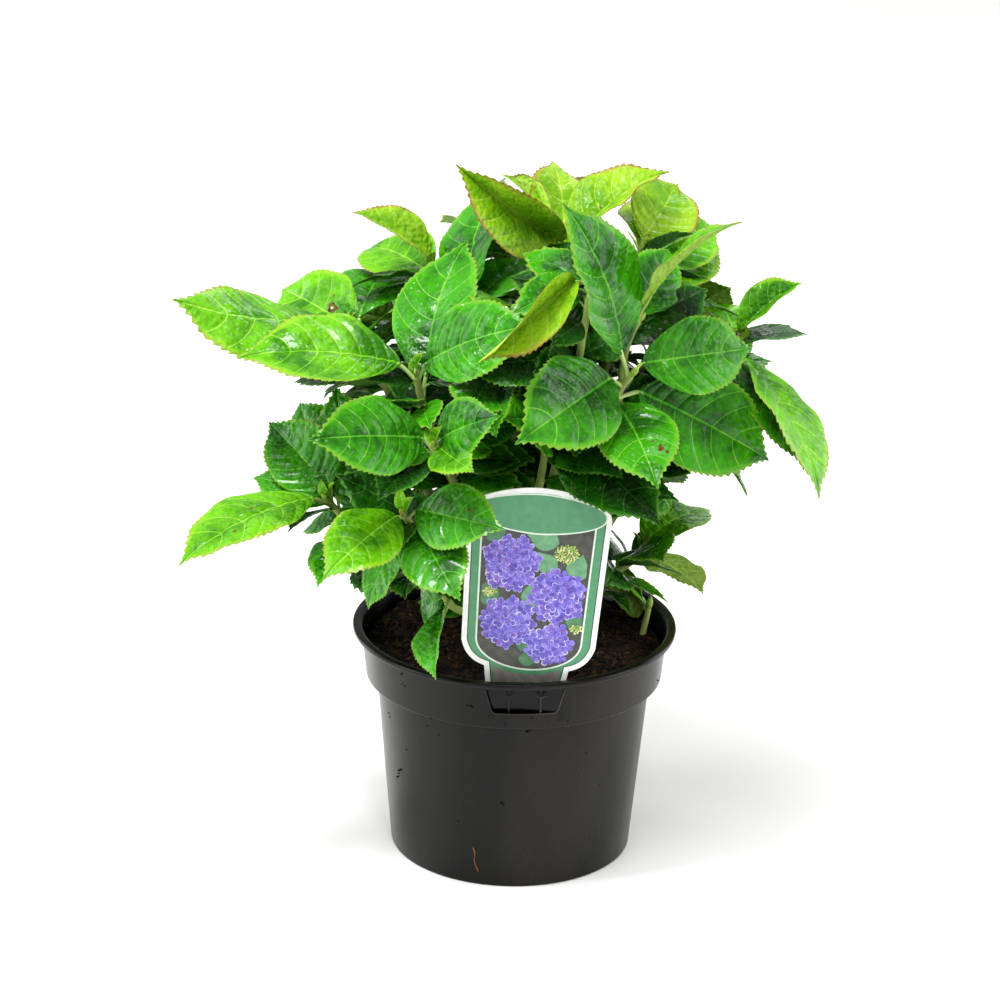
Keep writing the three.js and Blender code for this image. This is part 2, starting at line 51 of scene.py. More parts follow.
# Pot, in millimetres
POT_HEIGHT = 138
POT_STEPS = 192
WALL = 1.6
BASE_RADIUS = 71
LEDGE_RADIUS = 80.5
LEDGE_Z = 107
COLLAR_FOOT_RADIUS = 87
COLLAR_TOP_RADIUS = 90
LIP_RADIUS = 95
LIP_THICKNESS = 3.2
LIP_BOTTOM = POT_HEIGHT - LIP_THICKNESS
FLOOR_THICKNESS = 2.6
DRAIN_HOLES = 8
DRAIN_RADIUS = 4.5
DRAIN_CIRCLE = 55
POCKET_X = 6.5
POCKET_WIDTH = 46
POCKET_BOTTOM = 118
POCKET_TOP = 132
PANEL_WIDTH = 56
PANEL_FRONT = -84.2
PANEL_BACK = -82.6
PANEL_BOTTOM = 112
RIB_PITCH = 18
RIB_WIDTH = 1.2
RIB_DEPTH = 2
RIB_PLACES = (POCKET_X - RIB_PITCH / 2, POCKET_X + RIB_PITCH / 2)

# Compost
COMPOST_Z = 126
COMPOST_CROWN = 3
COMPOST_EDGE = COLLAR_FOOT_RADIUS - WALL
COMPOST_RINGS = 44
HEAP = (-58, 40, 2.6)  # where the compost is heaped, and how high
CHIPS = 2400
FIBRES = 260

# Label
LABEL_HALF_TOP = 40.5
LABEL_HALF_FOOT = 38
LABEL_SHOULDER = 20
LABEL_CORNER = 100
LABEL_TOP = 116
LABEL_THICKNESS = 0.8
TONGUE_HALF = 23
TONGUE_FOOT_HALF = 19
TONGUE_DEPTH = 27
LABEL_LEAN = 3.5
LABEL_Y = -81

# Crown and canes
CROWN_HEIGHT = 26
CROWN_RADIUS = 17
CROWN_FLARE = 21
ORIGINS = {"middle": (0, 0.8, 85), "top": (9.5, 0.8, 78), "side": (13, 0.45, 50)}
FORK_SHARE = 0.62
FORK_RISES = (30, 55)
CANE_RADII = (3.3, 1.9)
FORK_RADII = (2.1, 1.8)
BASAL_RADII = (1.9, 1.6)
NODE_SWELL = 0.55
NODE_REACH = 2.6

# Leaves
PETIOLE = 0.16
PETIOLE_LIFT = 45
PETIOLE_STEEPEST = 75
BLADE_WIDTH = 0.33
BLADE_BEND = 32
BLADE_FOLD = 12
FACING_OUT = 0.9
PAIRS = 3
PAIR_DROP = 12
PAIR_RISES = (28, 8, -12)
PAIR_LENGTHS = (62, 80, 88)
SWAY = 8
SWINGS = [
    (0, 0), (5, 3), (-5, 3), (5, -5), (-5, -5), (10, 6), (-10, 6), (12, -10), (-12, -10),
    (20, 0), (-20, 0), (20, 15), (-20, 15), (25, -20), (-25, -20),
]
MARK_REACH = 0.1  # how near to a landmark a corner of the solid has to be
FEWEST_MARKS = 2  # a swing counts where more landmarks than this are found
BASAL_FOOT = (76, 10, 127.3)
BASAL_APEX = (79, 12, 143)
BASAL_RISE = 80
BASAL_LEAVES = [(3, 117, -8, 50, 45), (3, 130, 25, 22)]

# A flat blade, 100 mm long, before it is bent onto its leaf
BLADE_SIZE = 100
BLADE_THICKNESS = 0.45
VEIN_SPAN = (0.12, 0.80)
VEIN_HALF = 0.0026
VEIN_CLEARANCE = 0.009
RIB_HALF = 0.95
RIB_GROOVE = 0.25
VEIN_GROOVE = 0.35
QUILTING = 0.95
EDGE_DROP = 2.6
TOOTH_REACH = 0.95
TOOTH_LEAN = 0.45
TOOTH_DROP = 0.5
KEEL_DEPTH = 1.5
WAVE = 0.019
BUCKLE = 0.028
YOUNG_LENGTHS = (9, 16)
YOUNG_RISES = (50, 72)
YOUNG_FOLD = 32
BUD_HALF = 2.3
BUD_LENGTH = 9
BUD_SUNK = 1.2
VEIN, MARGIN = 1, 2  # places in the row of a tint's finishes

# Filling leaves: two rounds, each with its pattern, its lengths and the steps from pair to pair, then the
# further turns that they try, how far down a stem they stand, and how far they may reach
FILL_ROUNDS = [("inner", (44, 62), (15, 22)), ("young", (30, 46), (9, 14))]
FILL_SWINGS = [(40, 8), (-40, 8), (60, -8), (-60, -8), (90, 20), (-90, 20), (75, 38), (-75, 38)]
FILL_RISES = (-12, 18)
FILL_DROP = 9
CANE_FILLED = 0.8
FORK_FILLED = 0.92
FILL_MARGIN = 14
FILL_FLOOR = 150
YOUNG_FRONT = {"right_front": -42}
LABEL_SPACE_Y = -56
LABEL_SPACE_TOP = 266
LABEL_SPACE_HALF = 52

# The masses: name, bearing of the cane's foot, where it leaves the crown, and its shoots. A shoot is an
# apex, the tints of its leaves, and rows of: distance below the apex, bearing, rise, length, roll, fold,
# twist. A shoot with a turn in place of rows bears opposite pairs by the rule.
MASSES = [
    ("left_front", 202, "top", [
        ((-58, -48, 304), "lmm", [(3, 186, 4, 92, -5), (3, 336, 26, 76, 10), (16, 70, 46, 90, 15)]),
        ((-47, -85, 275), "mlm", [(3, 212, 9, 74, -35), (3, 298, -1, 42, 10), (6, 314, 30, 56, 20)]),
    ]),
    ("low_left", 235, "side", [
        ((-63, -75, 231), "lmmm", [
            (3, 232, -17, 66, -25), (3, 321, 4, 64, 10), (8, 296, -24, 62), (14, 200, -63, 48)]),
    ]),
    ("low_front", 272, "side", [
        ((-39, -66, 177), "mm", [(3, 267, -31, 54, -10), (3, 115, -33, 40, -35)]),
    ]),
    ("left_outer", 200, "side", [
        ((-108, -28, 221), "lmmmmm", [
            (3, 215, -14, 92, -10), (3, 110, 26, 70, 10), (10, 137, 28, 66), (10, 157, 7, 52, -10),
            (35, 255, -16, 62, -15), (35, 121, 57, 80, 25)]),
    ]),
    ("left_back", 172, "side", [
        ((-97, 8, 310), "lml", [(3, 199, 12, 100, -32, -20), (3, 78, 5, 84, 35), (12, 127, 4, 80, -15)]),
    ]),
    ("top_left", 145, "top", [
        ((-51, 35, 342), "yl", [(3, 181, 33, 54, -66, 36), (12, 123, -2, 72, -10)]),
        ((-31, 18, 320), "mm", [(3, 76, 33, 92, 10), (6, 55, 14, 60, 45)]),
    ]),
    ("top_centre", 55, "top", [
        ((24, 20, 355), "yyyym", [
            (3, 202, 39, 86, -58, 28), (6, 125, 28, 66, 0, 30), (10, 95, 34, 72, -25),
            (6, 27, 32, 76, 20, 35), (30, 158, 52, 65, -50)]),
    ]),
    ("top_right", 15, "top", [
        ((67, 25, 357), "yyll", [
            (3, 72, 14, 70), (6, 59, 15, 72, 10), (14, 47, 5, 68, 25), (30, 44, 8, 72, 20)]),
    ]),
    ("right_front", 322, "side", [
        ((62, -48, 308), "mmmmm", [
            (3, 187, 65, 96, 5), (3, 26, 0, 72, 40), (10, 233, -10, 88, -15),
            (20, 11, -30, 92, 55), (26, 288, -20, 75, 25)]),
        ((66, -30, 334), "lm", [(3, 350, 46, 76, -75, 20), (6, 65, 30, 55, -10)]),
    ]),
    ("right_outer", 352, "side", [
        ((126, 22, 307), "lmll", [
            (3, 26, 33, 48, -11, 45), (16, 315, -41, 74, 20), (10, 304, -38, 98), (3, 105, 12, 40, -35)]),
    ]),
    ("right_low", 18, "side", [
        ((73, 15, 177), "llmm", [
            (3, 48, 4, 62, -15), (6, 39, -37, 60, -35), (10, 287, 17, 60, 60), (14, 110, -41, 45, 85)]),
    ]),
    ("inner_front", 335, "top", [
        ((38, -64, 368), "ydddd", [
            (3, 237, -25, 76, 0, 10, 90), (20, 109, 11, 62, -35), (40, 109, 14, 45, -50),
            (60, 60, 0, 60), (60, 200, 0, 62)]),
    ]),
    ("inner_low", 280, "top", [
        ((16, -36, 266), "dmdd", [
            (3, 335, -36, 84, 20), (3, 250, 22, 70, -30), (8, 320, 8, 62, 15), (22, 60, 5, 60)]),
    ]),
    ("inner_left", 240, "top", [
        ((-12, -30, 299), "mmddd", [
            (3, 261, -9, 62, -15), (3, 294, 6, 60, 25), (8, 106, 0, 60), (24, 15, 5, 60),
            (24, 195, 5, 60)]),
    ]),
    ("centre", 0, "middle", [((6, 6, 318), "llmmdd", 60)]),
    ("top_back", 95, "top", [((0, 70, 345), "yyllmm", 30)]),
    ("back_left", 135, "side", [((-72, 88, 290), "llmmmm", 30)]),
    ("back_centre", 88, "side", [((-8, 120, 290), "llmmmm", 60)]),
    ("back_right", 48, "side", [((80, 85, 285), "llmmmm", 135)]),
    ("low_back_left", 112, "side", [((-55, 105, 205), "llmmdd", 60)]),
    ("low_back_right", 66, "side", [((42, 112, 200), "llmmdd", 40)]),
]

# Leaves that carry their blades otherwise than the rule: turn about the midrib, bend of the midrib, then
# what is added to fold, twist, bearing and rise, and the share of the length that is kept
CARRIAGE = {
    ("left_back", 0, 0): (20, -24, 20, -50, -3, -1, 0.98),
    ("inner_front", 0, 0): (-12, 45, 52, -143, -2, -6, 0.95),
    ("low_front", 0, 0): (48, 10, 14, 8, 0, 0, 1.0),
    ("top_centre", 0, 0): (-102.7, 38.3, 22.4, -2.2, 4.9, -0.8, 0.98),
    ("top_right", 0, 1): (21, -28, -20, -45, 9, 5.6, 0.87),
}
BURIED_APEX = (38, -64, 368)  # too close behind a blade for a bud of its own
SHY = ("inner_front", "inner_low", "right_front")  # masses whose youngest leaves are still in the bud
# Blemishes by leaf: place across and along a blade 100 mm long, the ring's radius and the hole's
BLEMISHES = {
    ("left_back", 0, 2): [(5, 30, 4.2, 1.5), (13, 36, 1.2, 0)],
    ("right_front", 0, 4): [(-12, 66, 3.2, 0), (-16, 71, 1.6, 0), (-9, 58, 1.0, 0)],
    ("low_left", 0, 1): [(-9, 62, 1.7, 0), (-12, 66, 1.0, 0)],
    ("left_outer", 0, 0): [(8, 40, 1.5, 0), (-10, 62, 1.2, 0), (-14, 56, 0.9, 0)],
}


# Handling pieces

def lone(piece):
    """Select one piece and nothing else."""
    if bpy.context.object and bpy.context.object.mode != "OBJECT":
        bpy.ops.object.mode_set(mode="OBJECT")
    bpy.ops.object.select_all(action="DESELECT")
    piece.select_set(True)
    bpy.context.view_layer.objects.active = piece
    return piece


def settle(piece):
    """Leave a piece at the origin, unturned and unscaled."""
    lone(piece)
    bpy.ops.object.transform_apply(location=True, rotation=True, scale=True)
    return piece


def joined(pieces, name):
    """Several pieces made one."""
    lone(pieces[0])
    for piece in pieces:
        piece.select_set(True)
    if len(pieces) > 1:
        bpy.ops.object.join()
    pieces[0].name = name
    pieces[0].data.name = name
    return pieces[0]


def mount(piece, slot, *nodes):
    """A finished piece rides on the plant and stands for its solids; the slot is not used."""
    settle(piece)
    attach(piece, "root")
    if nodes:
        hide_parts(*nodes)
    return piece


def smoothed(piece, angle):
    """Shade a piece smooth where its faces meet at less than an angle."""
    lone(piece)
    bpy.ops.object.shade_smooth_by_angle(angle=math.radians(angle))
    return piece


def modified(piece, kind, **settings):
    """Add one modifier and apply it."""
    lone(piece)
    modifier = piece.modifiers.new(kind.lower(), kind)
    for key, value in settings.items():
        setattr(modifier, key, value)
    bpy.ops.object.modifier_apply(modifier=modifier.name)
    return piece


def cut(body, tool, operation="DIFFERENCE"):
    """Take a tool out of a body, or join or keep what they share, and throw the tool away."""
    modified(body, "BOOLEAN", object=tool, operation=operation, solver="EXACT")
    bpy.data.objects.remove(tool)
    return body


def twin(piece):
    """A copy with a mesh of its own."""
    copy = piece.copy()
    copy.data = piece.data.copy()
    bpy.context.collection.objects.link(copy)
    return copy


def corners_in(mesh):
    """The corners of a mesh as rows of numbers."""
    corners = np.empty(len(mesh.vertices) * 3)
    mesh.vertices.foreach_get("co", corners)
    return corners.reshape(-1, 3)


def faced_outwards(piece, merge=0.0, triangles=False):
    """Point every face outwards, after its doubles are merged or its faces cut into triangles."""
    lone(piece)
    bpy.ops.object.mode_set(mode="EDIT")
    bpy.ops.mesh.select_all(action="SELECT")
    if merge:
        bpy.ops.mesh.remove_doubles(threshold=merge)
    if triangles:
        bpy.ops.mesh.quads_convert_to_tris()
    bpy.ops.mesh.normals_make_consistent(inside=False)
    bpy.ops.object.mode_set(mode="OBJECT")
    return piece


def drawn_up(profile, steps):
    """A turned body: a filled disc extruded and resized ring by ring along a profile in millimetres."""
    (radius, height), *rest = profile
    bpy.ops.mesh.primitive_circle_add(
        vertices=steps, radius=radius * MM, fill_type="TRIFAN", location=(0, 0, height * MM))
    body = settle(bpy.context.object)
    bpy.ops.object.mode_set(mode="EDIT")
    bpy.ops.mesh.select_all(action="SELECT")
    for next_radius, next_height in rest:
        bpy.ops.mesh.extrude_region_move(
            TRANSFORM_OT_translate={"value": (0, 0, (next_height - height) * MM)})
        grow = next_radius / radius
        bpy.ops.transform.resize(value=(grow, grow, 1), center_override=(0, 0, 0))
        radius, height = next_radius, next_height
    return faced_outwards(body)


def bent_line(start, control, end, steps=14):
    """Points after the start along a curve that one control point bends."""
    return [tuple((1 - f) ** 2 * a + 2 * f * (1 - f) * c + f * f * b
                  for a, c, b in zip(start, control, end))
            for f in (step / steps for step in range(1, steps + 1))]


def band(low, high, count):
    """Faces between two rings of corners, from the first corner of each."""
    return [[low + k, high + k, high + (k + 1) % count, low + (k + 1) % count] for k in range(count)]


def piece_of(name, corners, faces, finishes=()):
    """A mesh piece from its corners and faces."""
    mesh = bpy.data.meshes.new(name)
    mesh.from_pydata([tuple(c) for c in corners], [], [tuple(f) for f in faces])
    piece = bpy.data.objects.new(name, mesh)
    bpy.context.collection.objects.link(piece)
    for finish in finishes:
        mesh.materials.append(finish)
    return piece


# Finishes

def tone(code):
    """A colour written as six hex digits, as the shader wants it."""
    parts = [int(code[i:i + 2], 16) / 255 for i in (0, 2, 4)]
    return tuple(p / 12.92 if p <= 0.04045 else ((p + 0.055) / 1.055) ** 2.4 for p in parts) + (1,)


class Finish:
    """One material: a Principled surface with patterns laid on it in Object coordinates."""

    def __init__(self, name, colour, roughness, **sockets):
        self.material = bpy.data.materials.new(name)
        self.material.use_nodes = True
        self.tree = self.material.node_tree
        self.shader = self.tree.nodes["Principled BSDF"]
        self.shader.inputs["Base Color"].default_value = tone(colour)
        self.shader.inputs["Roughness"].default_value = roughness
        for key, value in sockets.items():
            self.shader.inputs[key.replace("_", " ")].default_value = value
        self.place = self.node("ShaderNodeTexCoord").outputs["Object"]

    def node(self, kind, **settings):
        """A new node with its settings."""
        made = self.tree.nodes.new(kind)
        for key, value in settings.items():
            setattr(made, key, value)
        return made

    def stretched(self, stretch):
        """Object coordinates, drawn out along an axis where the pattern is."""
        if stretch is None:
            return self.place
        mapping = self.node("ShaderNodeMapping")
        mapping.inputs["Scale"].default_value = stretch
        self.tree.links.new(self.place, mapping.inputs["Vector"])
        return mapping.outputs["Vector"]

    def sum_of(self, *terms):
        """The sum of some patterns, each with its weight."""
        total = None
        for source, weight in terms:
            step = self.node("ShaderNodeMath", operation="MULTIPLY_ADD")
            self.tree.links.new(source, step.inputs[0])
            step.inputs[1].default_value = weight
            if total is None:
                step.inputs[2].default_value = 0
            else:
                self.tree.links.new(total, step.inputs[2])
            total = step.outputs[0]
        return total

    def on_blade(self):
        """How far out from the midrib a point of a blade is, squared, and how far along it."""
        chart = self.node("ShaderNodeUVMap", uv_map="blade")
        parts = self.node("ShaderNodeSeparateXYZ")
        self.tree.links.new(chart.outputs["UV"], parts.inputs[0])
        square = self.node("ShaderNodeMath", operation="MULTIPLY")
        self.tree.links.new(parts.outputs["X"], square.inputs[0])
        self.tree.links.new(parts.outputs["X"], square.inputs[1])
        return square.outputs[0], parts.outputs["Y"]

    def noise(self, scale, detail=3, stretch=None, distortion=0):
        """A cloudy pattern."""
        pattern = self.node("ShaderNodeTexNoise")
        self.tree.links.new(self.stretched(stretch), pattern.inputs["Vector"])
        pattern.inputs["Scale"].default_value = scale
        pattern.inputs["Detail"].default_value = detail
        pattern.inputs["Distortion"].default_value = distortion
        return pattern.outputs["Fac"]

    def cells(self, scale, feature="F1", stretch=None):
        """A pattern of cells."""
        pattern = self.node("ShaderNodeTexVoronoi", feature=feature)
        self.tree.links.new(self.stretched(stretch), pattern.inputs["Vector"])
        pattern.inputs["Scale"].default_value = scale
        return pattern.outputs["Distance"]

    def ramp(self, source, stops):
        """A pattern turned into tones or shares at given stops."""
        ramp = self.node("ShaderNodeValToRGB")
        self.tree.links.new(source, ramp.inputs["Fac"])
        marks = ramp.color_ramp.elements
        while len(marks) < len(stops):
            marks.new(0.5)
        for mark, (position, colour) in zip(marks, stops):
            mark.position = position
            mark.color = tone(colour) if isinstance(colour, str) else (colour, colour, colour, 1)
        return ramp.outputs["Color"]

    def colours(self, source, stops):
        """Colour the surface by a pattern."""
        self.tree.links.new(self.ramp(source, stops), self.shader.inputs["Base Color"])
        return self

    def specks(self, source, edge, colour):
        """Lay spots of another colour over what the base colour already has."""
        mix = self.node("ShaderNodeMix", data_type="RGBA")
        base = self.shader.inputs["Base Color"]
        if base.links:
            self.tree.links.new(base.links[0].from_socket, mix.inputs["A"])
        else:
            mix.inputs["A"].default_value = base.default_value
        mix.inputs["B"].default_value = tone(colour)
        self.tree.links.new(self.ramp(source, edge), mix.inputs["Factor"])
        self.tree.links.new(mix.outputs["Result"], base)
        return self

    def gloss(self, source, stops):
        """Vary the roughness by a pattern."""
        self.tree.links.new(self.ramp(source, stops), self.shader.inputs["Roughness"])
        return self

    def relief(self, source, depth, strength):
        """Fine relief of a depth in metres, laid over what is there already."""
        bump = self.node("ShaderNodeBump")
        bump.inputs["Distance"].default_value = depth
        bump.inputs["Strength"].default_value = strength
        self.tree.links.new(source, bump.inputs["Height"])
        normal = self.shader.inputs["Normal"]
        if normal.links:
            self.tree.links.new(normal.links[0].from_socket, bump.inputs["Normal"])
        self.tree.links.new(bump.outputs["Normal"], normal)
        return self


# Tints of a leaf from young to old: blade, its shade (the dark end of the blade's mottle, partly painted
# shade), its rim, veins, margin, underside
LEAF_TINTS = {
    "y": ("8CB81E", "5C9408", "9C9830", "B0C654", "8A7030", "A0CC40"),
    "l": ("62AC08", "286C00", "80B61C", "98C648", "88A034", "84A63C"),
    "m": ("368E06", "104A00", "58A412", "72B23A", "6E9A2C", "568430"),
    # The darkest tint is partly the old leaves' own deep green, partly painted shade for leaves deep in the
    # crown
    "d": ("185404", "062600", "287008", "468426", "4A7A26", "305C1E"),
}
leaf_finishes = {}


def leaf_finish(name, light, shade, rim, gloss, wet):
    """One part of a leaf: mottled with patches of painted shade and painted light over its own uneven tone,
    shaded towards a rim, finely wrinkled, and wet in patches.
    """
    made = Finish(name, light, gloss, Specular_IOR_Level=0.16, Coat_Weight=wet, Coat_Roughness=0.05)
    out, along = made.on_blade()
    # The mottle from shade to light tone is partly the leaf's own uneven colour, partly painted shade and
    # painted light for shadows and light shining through the leaf
    tint = made.sum_of((made.noise(34, 3), 0.8), (made.noise(210, 3), 0.34), (out, 0.14), (along, 0.07))
    made.colours(tint, [(0.5, shade), (0.74, light)])
    edge = made.sum_of((out, 0.8), (made.noise(55, 2), 0.45), (along, 0.12))
    made.specks(edge, [(0.86, 0.0), (1.14, 0.7)], rim)
    made.specks(made.noise(210, 1), [(0.77, 0.0), (0.8, 0.8)], "5E4A1C")
    made.relief(made.cells(380, "SMOOTH_F1"), 0.0013, 0.95)
    made.relief(made.noise(170, 3), 0.0012, 0.6)
    if wet:
        made.gloss(made.noise(48, 3), [(0.42, 0.09), (0.49, gloss - 0.06), (0.62, gloss + 0.1)])
    return made.material


def finishes_of(tint):
    """Six finishes of one tint: blade, veins and margin on top, then the same three underneath."""
    if tint not in leaf_finishes:
        blade, shade, rim, vein, margin, under = LEAF_TINTS[tint]
        wet = {"y": 0.08, "l": 0.2, "m": 0.22, "d": 0.14}[tint]
        leaf_finishes[tint] = [
            leaf_finish(f"leaf_blade_{tint}", blade, shade, rim, 0.4, wet),
            leaf_finish(f"leaf_vein_{tint}", vein, blade, rim, 0.42, 0.1),
            leaf_finish(f"leaf_margin_{tint}", margin, blade, margin, 0.45, 0.05),
            leaf_finish(f"leaf_underside_{tint}", under, under, under, 0.6, 0.0),
            leaf_finish(f"leaf_under_vein_{tint}", vein, under, vein, 0.6, 0.0),
            leaf_finish(f"leaf_under_margin_{tint}", under, margin, margin, 0.6, 0.0),
        ]
    return leaf_finishes[tint]


def blemish_finish():
    """Dry brown tissue."""
    made = Finish("dry_spot", "5A3414", 0.8, Specular_IOR_Level=0.2)
    return made.colours(made.noise(700, 3), [(0.35, "2C1208"), (0.6, "6E4420")]).material


def stem_finish():
    """Green stems with corky specks."""
    made = Finish("green_stem", "93A856", 0.5, Specular_IOR_Level=0.4)
    made.colours(made.noise(60, 4, (1, 1, 0.35)), [(0.32, "8A8B4E"), (0.5, "9DB35A"), (0.72, "B6C878")])
    made.specks(made.cells(900, stretch=(1, 1, 0.5)), [(0.06, 1.0), (0.12, 0.0)], "6E5A36")
    return made.relief(made.noise(900, 3, (1, 1, 0.3)), 0.0002, 0.6).material


def wood_finish():
    """Old brown wood."""
    made = Finish("brown_wood", "7C6A44", 0.75)
    made.colours(made.noise(170, 6, (1, 1, 0.3)), [(0.3, "4F4028"), (0.5, "80704A"), (0.7, "A3986A")])
    return made.relief(made.noise(500, 5, (1, 1, 0.25)), 0.0006, 0.8).material


def petiole_finish():
    """Pale green petioles."""
    made = Finish("petiole", "A9C46A", 0.45, Specular_IOR_Level=0.45)
    made.colours(made.noise(50, 2), [(0.35, "8FB548"), (0.7, "BFD488")])
    return made.relief(made.noise(1400, 2), 0.0001, 0.4).material


def bud_finish():
    """Green buds with a flush of brown."""
    made = Finish("bud", "86B03A", 0.5)
    stops = [(0.35, "6F8F35"), (0.5, "9CC24A"), (0.7, "B0793F")]
    return made.colours(made.noise(240, 3), stops).material


def plastic_finish(name, stops, glossy, dull, dust):
    """Black plastic with upright streaks, and with dust and grains where they are asked for."""
    made = Finish(name, stops[1][1], dull, Specular_IOR_Level=0.18)
    made.colours(made.noise(16, 6, (1, 1, 0.3)), stops)
    if dust:
        made.specks(made.noise(11, 8, (1, 1, 0.22), 0.6), [(0.5, 0.0), (0.72, dust)], "6F665E")
        made.specks(made.noise(300, 2), [(0.7, 0.0), (0.74, 0.9)], "060403")
    made.gloss(made.noise(40, 6, (1, 1, 0.2)), [(0.3, glossy), (0.7, dull)])
    return made.relief(made.noise(520, 4), 0.00014, 0.5).material


def pot_finishes():
    """Body and collar, the pocket's wall, its ribs in a lighter grey that is painted highlight, and the lip
    with the inside.
    """
    return [
        plastic_finish(name, [(0.3, dark), (0.55, middle), (0.8, light)], glossy, dull, dust)
        for name, dark, middle, light, glossy, dull, dust in (
            ("dusty_black_plastic", "040403", "080706", "110E0C", 0.2, 0.34, 0.07),
            ("clean_black_plastic", "040404", "080707", "0E0C0C", 0.12, 0.26, 0),
            # The ribs' finish, also used for the window's bead and the rib cups, is a lighter grey: painted
            # highlight on the pocket's raised edges
            ("rib_highlight_plastic", "1D1A18", "34302C", "5A544F", 0.2, 0.4, 0),
            ("lip_plastic", "050404", "0A0908", "14110F", 0.14, 0.3, 0.05))
    ]


def compost_finish(name, scale, dark, middle, light, places=(0.3, 0.6, 0.8)):
    """Soil, bark or root: three tones from dark to light, rough all over."""
    made = Finish(name, dark, 0.95, Specular_IOR_Level=0.25)
    made.colours(made.noise(scale, 6), list(zip(places, (dark, middle, light))))
    made.specks(made.noise(34, 4), [(0.52, 0.0), (0.7, 0.45)], light)
    return made.relief(made.noise(scale * 3, 6), 0.0008, 0.9).material


def print_finish(name, light, shade, gloss):
    """A printed tone on the label's card."""
    made = Finish(name, light, gloss, Specular_IOR_Level=0.5)
    made.colours(made.noise(220, 3), [(0.35, shade), (0.65, light)])
    return made.relief(made.noise(1200, 2), 0.00002, 0.3).material


# The growth rule

def unit(vector):
    """A vector brought to length 1."""
    return vector / np.linalg.norm(vector)


def direction(bearing, rise):
    """The unit vector at a bearing and a rise in degrees."""
    b, r = math.radians(bearing), math.radians(rise)
    return np.array([math.cos(b) * math.cos(r), math.sin(b) * math.cos(r), math.sin(r)])


def turned_about(vectors, axes, angles):
    """Turn rows of vectors about rows of unit axes."""
    c, s = np.cos(angles)[:, None], np.sin(angles)[:, None]
    along = np.sum(vectors * axes, axis=1)[:, None] * axes
    return vectors * c + np.cross(axes, vectors) * s + along * (1 - c)


class Stem:
    """Cubic curve from a cane's foot to a shoot's apex."""

    def __init__(self, foot, apex, start_rise, end_rise):
        self.foot, self.apex = np.array(foot, float), np.array(apex, float)
        self.span = np.linalg.norm(self.apex - self.foot)
        bearing = math.degrees(math.atan2(self.apex[1] - self.foot[1], self.apex[0] - self.foot[0]))
        self.leave = self.foot + direction(bearing, start_rise) * self.span / 3
        self.arrive = self.apex - direction(bearing, end_rise) * self.span / 3

    def at(self, t):
        """The point at a share t of the way up."""
        u = 1 - t
        return (u ** 3 * self.foot + 3 * u * u * t * self.leave + 3 * u * t * t * self.arrive
                + t ** 3 * self.apex)


def blade_outline(t):
    """Half a blade's width at places t along it, as a share of the widest."""
    return np.maximum(np.sin(np.pi * t ** 0.82), 0) ** (0.8 + 0.55 * t)


class Leaf:
    """Where one leaf of the rule stands: its node, its petiole and the frame along its midrib."""

    def __init__(self, stem, row):
        below, bearing, rise, length, roll, fold, twist = (list(row) + [0, BLADE_FOLD, 0][len(row) - 4:])
        self.share = 1 - below / stem.span
        self.node = stem.at(self.share)
        self.start = direction(bearing, min(rise + PETIOLE_LIFT, PETIOLE_STEEPEST))
        self.base = self.node + self.start * PETIOLE * length
        self.length, self.fold, self.twist = length, fold, twist
        self.along = direction(bearing, rise)
        middle = self.base + self.along * length / 2
        outward = unit(np.array([middle[0], middle[1], 0]))
        face = np.array([0, 0, 1.0]) + outward * FACING_OUT
        face = unit(face - self.along * face.dot(self.along))
        turn = np.array([math.radians(roll)])
        self.face = turned_about(face[None], self.along[None], turn)[0]
        self.side = np.cross(self.along, self.face)
        self.bend = BLADE_BEND

    def carried(self, turn, bend, fold, twist, bearing, rise, kept):
        """The same leaf with its blade carried otherwise."""
        across, lift = math.atan2(self.along[1], self.along[0]), math.asin(self.along[2])
        self.along = direction(math.degrees(across) + bearing, math.degrees(lift) + rise)
        face = unit(self.face - self.along * self.face.dot(self.along))
        self.face = turned_about(face[None], self.along[None], np.array([math.radians(turn)]))[0]
        self.side = np.cross(self.along, self.face)
        self.bend, self.length = bend, self.length * kept
        self.fold, self.twist = self.fold + fold, self.twist + twist
        return self

    def frame(self, t):
        """Points, sides, tangents and normals at places t along the midrib."""
        half = math.radians(self.bend) / 2
        angle = half * (1 - 2 * t)
        scale = self.length / (2 * math.sin(half))
        point = (self.base + np.outer((math.sin(half) - np.sin(angle)) * scale, self.along)
                 + np.outer((np.cos(angle) - math.cos(half)) * scale, self.face))
        tangent = np.outer(np.cos(angle), self.along) + np.outer(np.sin(angle), self.face)
        normal = np.cross(np.tile(self.side, (len(t), 1)), tangent)
        normal = turned_about(normal, tangent, np.radians(self.twist * t))
        return point, np.cross(tangent, normal), tangent, normal

    def landmarks(self):
        """The tip and the edges that the solid of this leaf has, at its seven stations."""
        t = np.arange(1, 8) / 7
        point, side, _, normal = self.frame(t)
        half = (BLADE_WIDTH * self.length * blade_outline(t))[:, None]
        lean = math.radians(self.fold)
        level, lift = side * half * math.cos(lean), normal * half * math.sin(lean)
        return np.concatenate([point + level + lift, point - level + lift])


def paired_rows(turn):
    """Opposite pairs, each a quarter turn from the last, with the source's seeded sway."""
    state = turn + 1
    sways = []
    for _ in range(PAIRS * 6):
        state = state * 48271 % 2147483647
        sways.append(SWAY * (2 * state / 2147483647 - 1))
    rows = []
    for pair in range(PAIRS):
        for half in (0, 180):
            sway = sways[3 * len(rows):]
            rows.append((3 + PAIR_DROP * pair * (1 + pair / 4), turn + 90 * pair + half + sway[0],
                         PAIR_RISES[pair] + sway[1], PAIR_LENGTHS[pair] + sway[2]))
    return rows


